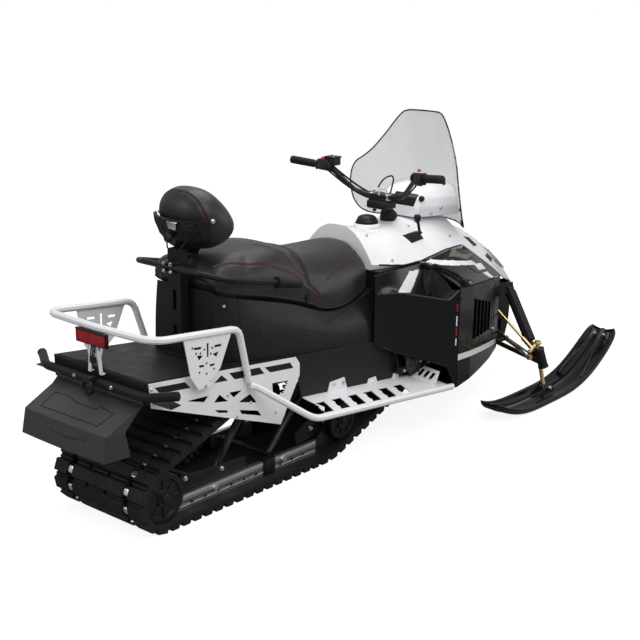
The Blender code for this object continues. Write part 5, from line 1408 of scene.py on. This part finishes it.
# Steering
BARS = "handlebar_body"
STEER_Z = 0.970
BAR_CLAMP_Y = 0.046
THROTTLE_CABLE = ((1.500, 0.040, 1.100), (1.520, 0.046, 1.135), (1.560, 0.060, 1.152), (1.600, 0.055, 1.140),
                  (1.618, 0.030, 1.090), (1.622, 0.014, 1.040), (1.620, 0.006, 1.004))
KEY_STRAP = ((1.532, 0.020, 1.060), (1.520, 0.034, 1.086), (1.522, 0.052, 1.104), (1.540, 0.060, 1.090),
             (1.548, 0.050, 1.066))
# Name, side, shift from the bar and radius of the lines that run down from its bends
BAR_HOSES = (("brake_hose", 1, (0.020, 0.004, 0.006), 0.0048), ("left_cable", 1, (0.004, 0.016, -0.016), 0.004),
             ("right_cable", -1, (0.016, -0.008, -0.010), 0.0042))
# x, y and height over STEER_Z of the bar's tip, bends and middle
HALF_BAR = ((1.440, 0.425, 0.215), (1.500, 0.250, 0.195), (1.556, 0.140, 0.092), (1.568, 0.050, 0.076))


def on_bar(index, side):
    x, y, z = HALF_BAR[index]
    return at(x, side * y, STEER_Z + z)


class SNOWMOBILE_OT_handlebar_fittings(bpy.types.Operator):
    """Make the grips, switch pods, levers, reservoir, cables, clamps and boot of the handlebar."""

    bl_idname = "snowmobile.handlebar_fittings"
    bl_label = "Handlebar Fittings"

    def execute(self, context):
        sizes = context.scene.snowmobile_sizes
        up = Vector((0, 0, 1))

        def fit(obj, name, look, smooth=40):
            settle(obj, name, look, BARS, smooth)

        for s, side in LEFT_RIGHT:
            tip, bend = on_bar(0, s), on_bar(1, s)
            run = bend - tip
            way = run.normalized()
            ring = turned([(0.015, -0.003), (0.0182, -0.002), (0.0186, 0.0), (0.0182, 0.002), (0.015, 0.003),
                           (0.015, -0.003)], (0, 0, 0))
            count = sizes.grip_ribs
            ribs = copies(ring, [facing(tip + run * (0.03 + 0.60 * k / count), way) for k in range(count)])
            flange = turned(band(0.012, 0.0235, 0.003, 0.0015), tip + run * 0.69, way, 28)
            end = turned([(0, -0.004), (0.013, -0.004), (0.0178, 0.0), (0.0178, 0.008), (0, 0.008)],
                         tip - run * 0.018, way, 28)
            fit(join([ribs, flange, end]), "grip_ribs_" + side, "grip rubber", 50)
            pod = tip + run * 0.845
            case = box((-0.022, -0.021, -0.027), (0.022, 0.026, 0.027), 0.006, 3)
            cap = box((-0.016, 0.020, -0.016), (0.012, 0.033, 0.014), 0.004, 2)
            strap = turned([(0.012, -0.007), (0.0245, -0.007), (0.0245, 0.007), (0.012, 0.007), (0.012, -0.007)],
                           (0, 0, 0.036))
            unit = join([case, cap, strap])
            unit.matrix_world = facing(pod, way)
            fit(unit, "switch_pod_" + side, "hard black")
            button = turned([(0, 0.011), (0.006, 0.0105), (0.008, 0.008), (0.008, 0), (0, 0)],
                            pod + Vector((-0.004, -s * 0.004, 0.030)))
            fit(button, "stop_button_" + side, "red")
            blade = [pod + Vector((0.018, 0, 0)), pod + Vector((0.040, 0, -0.004))]
            for share, x, z in ((0.62, 0.046, -0.010), (0.36, 0.045, -0.016), (0.12, 0.040, -0.020)):
                blade.append(tip + run * share + Vector((x, 0, z)))
            ball = turned([(0, -0.009), (0.006, -0.007), (0.009, 0), (0.006, 0.007), (0, 0.009)],
                          tip + run * 0.115 + Vector((0.040, 0, -0.020)), way, 20)
            fit(join([hose(blade, 0.0062), ball]), "lever_" + side, "black paint", 60)
        spot = on_bar(1, 1) + Vector((0.012, -0.012, 0.026))
        tank = box(spot + Vector((-0.026, -0.028, -0.020)), spot + Vector((0.026, 0.028, 0.014)), 0.005, 3)
        lid = box(spot + Vector((-0.029, -0.031, 0.013)), spot + Vector((0.029, 0.031, 0.0215)), 0.003, 2)
        fit(join([tank, lid]), "brake_reservoir", "hard black")
        bolts([(spot + Vector((x, y, 0.0215)), up) for x, y in ((-0.020, -0.022), (0.020, 0.022))],
              "reservoir_screws", "steel", 0.0032, BARS, True)
        for name, s, shift, radius in BAR_HOSES:
            drop = Vector(shift)
            route = [on_bar(1, s) + drop, on_bar(2, s) + drop + Vector((0.006, 0, 0)),
                     on_bar(3, s) + drop + Vector((0.014, -s * 0.006, -0.004)),
                     *flank(s, (1.612, 0.024, 1.010), (1.622, 0.012, 0.985))]
            fit(hose(route, radius, 8), name, "rubber", 60)
        fit(hose(flank(-1, *THROTTLE_CABLE), 0.0036, 8), "throttle_cable", "rubber", 60)
        top = STEER_Z + 0.094
        for s, side in LEFT_RIGHT:
            y = s * BAR_CLAMP_Y
            saddle = box(at(1.550, y - 0.010, STEER_Z + 0.060), at(1.588, y + 0.010, top), 0.007, 3)
            fit(saddle, "bar_clamp_" + side, "steel")
            bolts([(at(x, y, top), up) for x in (1.556, 1.582)], "clamp_screws_" + side, "dark steel",
                  0.0042, BARS, True)
        fit(box(at(1.538, -0.058, STEER_Z + 0.020), at(1.620, 0.058, STEER_Z + 0.058), 0.009, 3), "bar_block",
            "black paint")
        fit(hose(flank(-1, *KEY_STRAP), 0.004, 8), "key_strap", "white plastic", 60)
        boot = turned([(0, -0.024), (0.040, -0.024), (0.042, -0.018), (0.037, -0.012), (0.039, -0.006),
                       (0.033, 0.0), (0.034, 0.006), (0.027, 0.012), (0.028, 0.018), (0.022, 0.024), (0, 0.024)],
                      at(1.6285, 0, 0.957), (-0.5, 0, 0.866), 32)
        settle(boot, "steering_boot", "rubber", smooth=60)
        return {"FINISHED"}


# Height over 1 m and half width of the windshield
SHIELD = ((-0.115, 0.200), (-0.095, 0.285), (-0.036, 0.315), (0.051, 0.319), (0.115, 0.311), (0.159, 0.296),
          (0.183, 0.274), (0.222, 0.241), (0.295, 0.192), (0.359, 0.150), (0.400, 0.115), (0.4125, 0.088))
TRIM_TOP = 0.410


def shield_point(y, z):
    return at(2.020 - 0.27 * (z - 1.000) - 2.6 * y * y + 0.0015, y, z)


class SNOWMOBILE_OT_windshield(bpy.types.Operator):
    """Make the windshield's edge trim and grommets."""

    bl_idname = "snowmobile.windshield"
    bl_label = "Windshield"

    def execute(self, context):
        sizes = context.scene.snowmobile_sizes
        half = [(min(h, TRIM_TOP), w - 0.0015) for h, w in SHIELD]
        loop = [shield_point(-w, 1.000 + h) for h, w in half]
        loop += [shield_point(y * 0.022, 1.0008 + TRIM_TOP) for y in range(-3, 4)]
        loop += [shield_point(w, 1.000 + h) for h, w in reversed(half)]
        loop += [shield_point(y * 0.04, 0.885 + 0.0025) for y in (4, 2, 0, -2, -4)]
        path = curved(loop + [loop[0]], 4)
        settle(hose(path, sizes.trim, 8, False), "windshield_trim", "rubber", smooth=60)
        spots = []
        for y, z in ((0.262, 0.912), (0.236, 0.972), (0.240, 0.918)):
            for s in (-1, 1):
                point = shield_point(s * y, z)
                out = Vector((-1.0, -s * 5.2 * y, -0.27)).normalized()
                spots.append((point + out * 0.002, out))
        bolts(spots, "windshield_grommets", "hard black", 0.0072, CHASSIS, True)
        return {"FINISHED"}


# Front bodywork: lines and corners on the left side
SHOULDER_MESH = ((1.728, 0.290, 0.788), (1.871, 0.292, 0.750), (2.030, 0.232, 0.738), (1.800, 0.252, 0.803))
SHOULDER_FOLDS = (
    ((1.720, 0.290, 0.796), (1.790, 0.244, 0.812), (2.040, 0.226, 0.738), (1.880, 0.298, 0.744),
     (1.720, 0.290, 0.796)),
    ((1.575, 0.300, 0.787), (1.720, 0.300, 0.790), (1.900, 0.300, 0.735), (2.080, 0.240, 0.668)),
    ((1.600, 0.330, 0.770), (1.700, 0.400, 0.700), (1.790, 0.390, 0.676)),
    ((1.760, 0.310, 0.760), (1.900, 0.330, 0.690), (2.070, 0.270, 0.640)),
)
LATCH_ARM = ((1.545, 0.285, 0.775), (1.580, 0.310, 0.764), (1.650, 0.388, 0.722), (1.660, 0.430, 0.704))
GUARD_LIP = ((1.215, 0.275, 0.699), (1.300, 0.302, 0.700), (1.420, 0.376, 0.665), (1.520, 0.440, 0.642),
             (1.566, 0.463, 0.686))
GUARD_EDGES = (
    ((1.560, 0.463, 0.236), (1.560, 0.463, 0.670)),
    ((1.215, 0.270, 0.474), (1.300, 0.302, 0.424), (1.420, 0.376, 0.382), (1.520, 0.440, 0.334)),
)
PANEL_FOLDS = (
    ((1.780, 0.405, 0.603), (2.160, 0.268, 0.560)), ((1.772, 0.407, 0.380), (2.140, 0.274, 0.330)),
    ((1.780, 0.405, 0.603), (1.772, 0.407, 0.380)), ((2.160, 0.268, 0.560), (2.140, 0.274, 0.330)),
    ((1.590, 0.456, 0.395), (2.285, 0.216, 0.268)), ((1.580, 0.459, 0.670), (2.290, 0.214, 0.568)),
    ((2.200, 0.252, 0.570), (2.185, 0.257, 0.300)),
)
PANEL_SCREWS = (
    ("panel_screws_", "dark steel", 0.0045, ((1.585, 0.457, 0.640), (1.585, 0.457, 0.250), (2.280, 0.22, 0.555))),
    ("panel_stud_", "steel", 0.0078, ((2.166, 0.265, 0.343),)),
)


class SNOWMOBILE_OT_side_fittings(bpy.types.Operator):
    """Make the shoulders' vents, folds and latch arms, and the guards' and side panels' edges and screws."""

    bl_idname = "snowmobile.side_fittings"
    bl_label = "Side Fittings"

    def execute(self, context):
        for s, side in LEFT_RIGHT:
            top, knee, flat = f"shoulder_panel_{side}", f"knee_guard_{side}", f"side_panel_{side}"
            shoulder, guard = skin(bpy.data.objects[top + "_shape"]), skin(bpy.data.objects[knee + "_shape"])
            panel = skin(NODES[flat])
            inlay(shoulder, flank(s, *SHOULDER_MESH), "shoulder_mesh_" + side, "mesh", 0.0012, 0.002, (16, 10))
            beads(shoulder, runs(s, *SHOULDER_FOLDS), 0.0038, "shoulder_folds_" + side, "shoulder", -0.0012,
                  smooth=False)
            arm = [p for p, _ in onto(shoulder, runs(s, LATCH_ARM)[0], 0.010)]
            strap = [p + Vector((0, 0, -0.022)) + Vector((0.012, 0, 0.004)) for p in arm[2:]]
            block = box(arm[-1] + Vector((-0.020, -0.014, -0.020)), arm[-1] + Vector((0.022, 0.014, 0.012)), 0.004)
            hinge = box(arm[1] + Vector((-0.016, -0.012, -0.014)), arm[1] + Vector((0.016, 0.012, 0.010)), 0.004)
            settle(join([hose(arm, 0.0075), hose(strap, 0.006), block, hinge]), "latch_arm_" + side, "hard black",
                   smooth=50)
            ends = [(arm[-1] + Vector((0.014, s * 0.014, -0.004)), Vector((0.1, s, 0.2))),
                    (arm[1] + Vector((0, s * 0.010, 0.006)), Vector((0, s, 0.6)))]
            bolts(ends, "latch_screws_" + side, "steel", 0.0048, socket=True)
            # The lip beads are real; their lighter plastic is a painted highlight
            beads(guard, runs(s, GUARD_LIP), 0.0042, "guard_lip_" + side, "lip", -0.0014, smooth=False)
            beads(guard, runs(s, *GUARD_EDGES), 0.0032, "guard_edge_" + side, "gloss black", -0.001,
                  smooth=False)
            beads(panel, runs(s, *PANEL_FOLDS), 0.0028, "panel_folds_" + side, "panel", -0.0008, smooth=False)
            for name, look, radius, places in PANEL_SCREWS:
                spots = [(p, Vector((0.3, s, 0)).normalized()) for p, _ in onto(panel, flank(s, *places))]
                bolts(spots, name + side, look, radius, socket=True)
        return {"FINISHED"}


CLUTCH = (1.470, 0.300, 0.350)
ENGINE_PIPES = (
    (0.0085, ((1.400, 0.270, 0.400), (1.410, 0.300, 0.360), (1.420, 0.310, 0.320), (1.450, 0.300, 0.296),
              (1.500, 0.290, 0.290))),
    (0.007, ((1.540, 0.270, 0.430), (1.540, 0.320, 0.400), (1.530, 0.340, 0.360), (1.510, 0.330, 0.320),
              (1.480, 0.300, 0.300))),
    (0.005, ((1.350, 0.268, 0.430), (1.345, 0.285, 0.380), (1.360, 0.290, 0.340), (1.380, 0.280, 0.310))),
)
ENGINE_BLOCKS = (((1.360, 0.268, 0.302), (1.420, 0.300, 0.330)), ((1.520, 0.268, 0.302), (1.548, 0.330, 0.352)))


class SNOWMOBILE_OT_engine_fittings(bpy.types.Operator):
    """Make the clutch, hoses, brackets and bolts seen under the guards."""

    bl_idname = "snowmobile.engine_fittings"
    bl_label = "Engine Fittings"

    def execute(self, context):
        for s, side in LEFT_RIGHT:
            out = Vector((0, s, 0))
            hub, foot = flank(s, CLUTCH, (1.470, 0.266, 0.350))
            disc = turned([(0, 0.030), (0.020, 0.030), (0.024, 0.020), (0.050, 0.016), (0.066, 0.006), (0.070, 0),
                           (0.066, -0.006), (0.030, -0.012), (0, -0.012)], hub, out, 32)
            fin = box((0.026, -0.003, 0.004), (0.062, 0.003, 0.018), 0.0012)
            fins = copies(fin, [facing(hub, out, math.tau * k / 9) for k in range(9)])
            shaft = turned([(0, 0), (0.016, 0), (0.016, 0.040), (0, 0.040)], foot, out, 20)
            settle(join([disc, fins, shaft]), "clutch_" + side, "dark steel")
            pipes = [hose(flank(s, *path), radius) for radius, path in ENGINE_PIPES]
            blocks = [box(*flank(s, low, high), 0.005) for low, high in ENGINE_BLOCKS]
            settle(join(pipes + blocks), "engine_hoses_" + side, "rubber", smooth=50)
            heads = flank(s, (1.390, 0.300, 0.316), (1.534, 0.330, 0.330), (1.470, 0.330, 0.350))
            bolts([(head, out) for head in heads], "engine_bolts_" + side, "steel", 0.0062)
        return {"FINISHED"}


SKI_Y = 0.500
SADDLE_PIN = (2.302, SKI_Y, 0.060)
SADDLE_CHEEK = ((2.202, 0.033), (2.370, 0.033), (2.358, 0.046), (2.326, 0.078), (2.278, 0.078), (2.216, 0.046))
HOOK = ((2.480, 0.112, 0.505), (2.515, 0.112, 0.509), (2.538, 0.112, 0.497), (2.545, 0.112, 0.473),
        (2.540, 0.112, 0.425))


class SNOWMOBILE_OT_suspension_fittings(bpy.types.Operator):
    """Make the struts' collars, spindles, ski saddles, bolts, tie rod sleeves and the front hooks."""

    bl_idname = "snowmobile.suspension_fittings"
    bl_label = "Suspension Fittings"

    def execute(self, context):
        for s, side in LEFT_RIGHT:
            pin_low, pin_high = flank(s, (2.300, 0.505, 0.120), (2.262, 0.465, 0.300))
            pin = (pin_high - pin_low).normalized()
            top = at(2.405, s * 0.200, 0.500)
            low = pin_low + pin * 0.070 + Vector((0, -s, 0)) * 0.0216 + Vector((0.045, -s * 0.050, 0.030))
            collars = [turned(band(0.012, 0.0235, 0.004, 0.001), low.lerp(top, share), top - low, 28)
                       for share in (0.24, 0.55, 0.90)]
            settle(join(collars), "strut_collars_" + side, "black paint", smooth=50)
            bushes = [(at(x, s * 0.1815, 0.218), Vector((way, 0, 0))) for x, way in ((2.331, -1), (2.449, 1))]
            bolts(bushes, "arm_bolts_" + side, "steel", 0.0085)
            caps = [turned([(0.020, -0.004), (0.0265, -0.004), (0.0265, 0.004), (0.020, 0.004), (0.020, -0.004)],
                           pin_low + pin * share, pin, 28) for share in (0.048, 0.142)]
            settle(join(caps), "knuckle_rings_" + side, "dark steel")
            body, slot = f"ski_{side}_body", f"spindle_{side}"
            foot, tie, saddle = flank(s, (2.302, SKI_Y, 0.046), (2.208, 0.462, 0.251), SADDLE_PIN)
            rise = pin_high - foot
            shaft = turned([(0, 0), (0.0125, 0), (0.0125, 0.020), (0.0105, 0.024), (0.0105, rise.length),
                            (0, rise.length)], foot, rise, 24)
            collar = turned([(0.009, -0.022), (0.0185, -0.022), (0.0205, -0.018), (0.0205, -0.010),
                             (0.0185, -0.006), (0.009, -0.006), (0.009, -0.022)], pin_high, pin, 28)
            axle = turned([(0, -0.034), (0.0085, -0.034), (0.0085, 0.034), (0, 0.034)], saddle, (0, 1, 0), 20)
            arm = hose([pin_high - pin * 0.014, pin_high.lerp(tie, 0.55) + Vector((0, 0, 0.002)), tie], 0.0085, 12)
            spindle = settle(join([shaft, collar, axle, arm]), f"spindle_{side}_shape", "yellow zinc", body,
                             45)
            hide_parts(slot)
            cheeks = [sheet([at(x, s * SKI_Y + y, z) for x, z in SADDLE_CHEEK], 0.006, 0.0012)
                      for y in (-0.0215, 0.0215)]
            settle(join(cheeks), "ski_saddle_" + side, "black paint", body, 30)
            bolts([(pin_low + pin * 0.178, pin)], "spindle_nut_" + side, "steel", 0.010, body)
            bolts([(tie + Vector((0, 0, 0.006)), Vector((0, 0, 1)))], "tie_nut_" + side, "steel", 0.0085,
                  body)
            bolts([(saddle + Vector((0, way * 0.033, 0)), Vector((0, way, 0))) for way in (s, -s)],
                  "saddle_bolts_" + side, "steel", 0.0095, body)
            inner, outer = flank(s, (2.400, 0.080, 0.300), (2.208, 0.462, 0.225))
            line = (outer - inner).normalized()
            sleeve = turned([(0, 0), (0.0095, 0), (0.011, 0.004), (0.011, 0.062), (0.0085, 0.068), (0, 0.068)],
                            outer - line * 0.088, line, 20)
            settle(sleeve, "tie_sleeve_" + side, "steel", f"tie_rod_{side}_body", 40)
        hooks = [hose(flank(s, *HOOK), 0.0095, 12) for s in (-1, 1)]
        settle(join(hooks), "front_hook", "black paint", smooth=50)
        return {"FINISHED"}


# x, height and half width of the ski; then x, share of the stay's distance from the middle, and height
SKI = ((1.790, 0.085, 0.045), (1.840, 0.050, 0.075), (1.930, 0.018, 0.090), (2.040, 0.000, 0.095),
       (2.200, 0.000, 0.095), (2.380, 0.000, 0.095), (2.500, 0.012, 0.095), (2.620, 0.046, 0.0945),
       (2.720, 0.094, 0.0945), (2.800, 0.141, 0.093), (2.862, 0.183, 0.088), (2.886, 0.203, 0.079),
       (2.8975, 0.213, 0.062))
SKI_STAY = ((2.560, 1.0, 0.055), (2.620, 0.9, 0.100), (2.700, 0.7, 0.138), (2.780, 0.5, 0.182), (2.850, 0.4, 0.211))


class SNOWMOBILE_OT_skis(bpy.types.Operator):
    """Make the skis with rolled rims, inner ribs, tip stays, bolts and runners."""

    bl_idname = "snowmobile.skis"
    bl_label = "Skis"

    def execute(self, context):
        for s, side in LEFT_RIGHT:
            body = f"ski_{side}_body"
            rings = []
            for x, z, half in SKI:
                rim = 0.036 if half > 0.06 else 0.024
                under = [(-half, z + 0.022), (-half * 0.90, z + 0.008), (-half * 0.70, z + 0.003),
                         (-half * 0.24, z + 0.004), (-half * 0.12, z + 0.001), (half * 0.12, z + 0.001),
                         (half * 0.24, z + 0.004), (half * 0.70, z + 0.003), (half * 0.90, z + 0.008),
                         (half, z + 0.022)]
                over = [(half, z + rim), (half * 0.93, z + rim + 0.004), (half * 0.82, z + rim - 0.001),
                        (half * 0.74, z + 0.016), (half * 0.50, z + 0.0135), (half * 0.30, z + 0.016),
                        (half * 0.18, z + 0.030), (-half * 0.18, z + 0.030), (-half * 0.30, z + 0.016),
                        (-half * 0.50, z + 0.0135), (-half * 0.74, z + 0.016), (-half * 0.82, z + rim - 0.001),
                        (-half * 0.93, z + rim + 0.004), (-half, z + rim)]
                rings.append([at(x, s * SKI_Y + y, h) for y, h in under + over])
            ski = loft(rings)
            modify(ski, "SUBSURF", levels=2)
            settle(ski, f"ski_{side}_shape", "ski plastic", body, 50)
            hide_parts(f"ski_{side}")
            tree = skin(ski)
            ribs = []
            for across in (-0.052, 0.052):
                path = onto(tree, [at(x, s * SKI_Y + across, z + 0.05) for x, z, _ in SKI[2:11]], 0.001)
                ribs.append(hose([p for p, _ in path], 0.0045, 8))
            settle(join(ribs), "ski_ribs_" + side, "ski plastic", body, 60)
            stays = [hose([at(x, s * SKI_Y + across * share, z) for x, share, z in SKI_STAY], 0.0065)
                     for across in (-0.062, 0.062)]
            settle(join(stays), "ski_stays_" + side, "ski plastic", body, 60)
            bolts([(at(2.852, s * SKI_Y + y, 0.214), Vector((-0.4, 0, 1))) for y in (-0.026, 0.026)],
                  "ski_bolts_" + side, "steel", 0.007, body)
            wear = box(at(2.06, s * SKI_Y - 0.006, 0.0008), at(2.46, s * SKI_Y + 0.006, 0.006), 0.002)
            settle(wear, "ski_runner_" + side, "steel", body, 40)
        return {"FINISHED"}


# Stage
CAMERA_SPOT = (-4.09160433, -3.33035319, 1.98964883)
CAMERA_TURN = (0.702035630, -0.273580258, 0.0141320994)
CAMERA_LENS = 67.83
CAMERA_SHIFT = (0.000238, -0.000109)
# Name, place, size and power of the lamps
LAMPS = (
    ("key_lamp", (-1.6, -2.6, 3.4), 2.6, 74), ("top_lamp", (0.2, 0.4, 3.6), 2.4, 60),
    ("rear_lamp", (-4.2, 1.4, 1.9), 1.6, 26), ("front_lamp", (2.6, -3.0, 1.6), 1.6, 26),
)


def joined(tree, operation, first, second):
    """Maths node of a socket with a second socket or a number."""
    made = tree.nodes.new("ShaderNodeMath")
    made.operation = operation
    tree.links.new(first, made.inputs[0])
    if isinstance(second, bpy.types.NodeSocket):
        tree.links.new(second, made.inputs[1])
    else:
        made.inputs[1].default_value = second
    return made.outputs[0]


class SNOWMOBILE_OT_stage(bpy.types.Operator):
    """Lay the floor, hang the soft lamps and set the camera."""

    bl_idname = "snowmobile.stage"
    bl_label = "Stage"

    def execute(self, context):
        scene = context.scene
        scene.view_settings.view_transform = "Standard"
        free()
        bpy.ops.mesh.primitive_plane_add(size=60, location=(0, 0, -0.0005))
        floor = context.object
        floor.name = "studio_floor"
        look = bpy.data.materials.new("Studio floor")
        look.use_nodes = True
        tree = look.node_tree
        shader = tree.nodes["Principled BSDF"]
        shader.inputs["Base Color"].default_value = (0.30, 0.30, 0.30, 1)
        shader.inputs["Roughness"].default_value = 1.0
        shader.inputs["Specular IOR Level"].default_value = 0.0
        shader.inputs["Emission Color"].default_value = (1, 1, 1, 1)
        path = tree.nodes.new("ShaderNodeLightPath")
        seen = joined(tree, "MULTIPLY", path.outputs["Is Camera Ray"], 0.88)
        tree.links.new(seen, shader.inputs["Emission Strength"])
        floor.data.materials.append(look)
        world = bpy.data.worlds.new("Studio")
        scene.world = world
        world.use_nodes = True
        tree = world.node_tree
        sky = tree.nodes["Background"]
        sky.inputs["Color"].default_value = (1, 1, 1, 1)
        path = tree.nodes.new("ShaderNodeLightPath")
        total = path.outputs["Is Camera Ray"]
        for ray, weight in (("Is Glossy Ray", 0.12), ("Is Transmission Ray", 1.0)):
            total = joined(tree, "MAXIMUM", total, joined(tree, "MULTIPLY", path.outputs[ray], weight))
        level = tree.nodes.new("ShaderNodeMapRange")
        level.inputs["To Min"].default_value = 0.42
        level.inputs["To Max"].default_value = 1.0
        tree.links.new(total, level.inputs["Value"])
        tree.links.new(level.outputs[0], sky.inputs["Strength"])
        for name, spot, size, power in LAMPS:
            free()
            bpy.ops.object.light_add(type="AREA", location=spot)
            lamp = context.object
            lamp.name = name
            lamp.data.size = size
            lamp.data.energy = power
            lamp.rotation_euler = (Vector((0, 0, 0.5)) - Vector(spot)).to_track_quat("-Z", "Y").to_euler()
        yaw, pitch, roll = CAMERA_TURN
        ahead = Vector((math.cos(pitch) * math.cos(yaw), math.cos(pitch) * math.sin(yaw), math.sin(pitch)))
        side = ahead.cross(Vector((0, 0, 1))).normalized()
        up = side.cross(ahead)
        right = side * math.cos(roll) + up * math.sin(roll)
        up = up * math.cos(roll) - side * math.sin(roll)
        bpy.ops.object.camera_add()
        camera = context.object
        camera.matrix_world = Matrix.Translation(CAMERA_SPOT) @ Matrix(
            (right, up, -ahead)).transposed().to_4x4()
        camera.data.lens = CAMERA_LENS
        camera.data.sensor_width = 36.0
        camera.data.shift_x, camera.data.shift_y = CAMERA_SHIFT
        scene.camera = camera
        return {"FINISHED"}


OPERATORS = (SNOWMOBILE_OT_finishes, SNOWMOBILE_OT_bodywork, SNOWMOBILE_OT_console_fittings,
             SNOWMOBILE_OT_gear_lever, SNOWMOBILE_OT_hood_fittings, SNOWMOBILE_OT_windshield,
             SNOWMOBILE_OT_side_fittings, SNOWMOBILE_OT_engine_fittings, SNOWMOBILE_OT_seat,
             SNOWMOBILE_OT_base_fittings, SNOWMOBILE_OT_backrest, SNOWMOBILE_OT_backrest_fittings,
             SNOWMOBILE_OT_track_fittings, SNOWMOBILE_OT_wheel_fittings, SNOWMOBILE_OT_rail_fittings,
             SNOWMOBILE_OT_plate_fittings, SNOWMOBILE_OT_tail_lamp, SNOWMOBILE_OT_rear_fittings,
             SNOWMOBILE_OT_handlebar_fittings, SNOWMOBILE_OT_suspension_fittings, SNOWMOBILE_OT_skis,
             SNOWMOBILE_OT_stage)


class SNOWMOBILE_PT_panel(bpy.types.Panel):
    bl_label = "Snowmobile"
    bl_space_type = "VIEW_3D"
    bl_region_type = "UI"
    bl_category = "Snowmobile"

    def draw(self, context):
        for group in (context.scene.snowmobile_colours, context.scene.snowmobile_sizes):
            column = self.layout.column(align=True)
            for key in group.bl_rna.properties.keys():
                if key not in ("rna_type", "name"):
                    column.prop(group, key)
        for operator in OPERATORS:
            self.layout.operator(operator.bl_idname)


def register():
    for kind in (SnowmobileColours, SnowmobileSizes, *OPERATORS, SNOWMOBILE_PT_panel):
        bpy.utils.register_class(kind)
    bpy.types.Scene.snowmobile_colours = PointerProperty(type=SnowmobileColours)
    bpy.types.Scene.snowmobile_sizes = PointerProperty(type=SnowmobileSizes)


def unregister():
    del bpy.types.Scene.snowmobile_colours
    del bpy.types.Scene.snowmobile_sizes
    for kind in (SNOWMOBILE_PT_panel, *reversed(OPERATORS), SnowmobileSizes, SnowmobileColours):
        bpy.utils.unregister_class(kind)


def main():
    register()
    for operator in OPERATORS:
        group, action = operator.bl_idname.split(".")
        getattr(getattr(bpy.ops, group), action)()
    free()


if __name__ == "__main__":
    main()
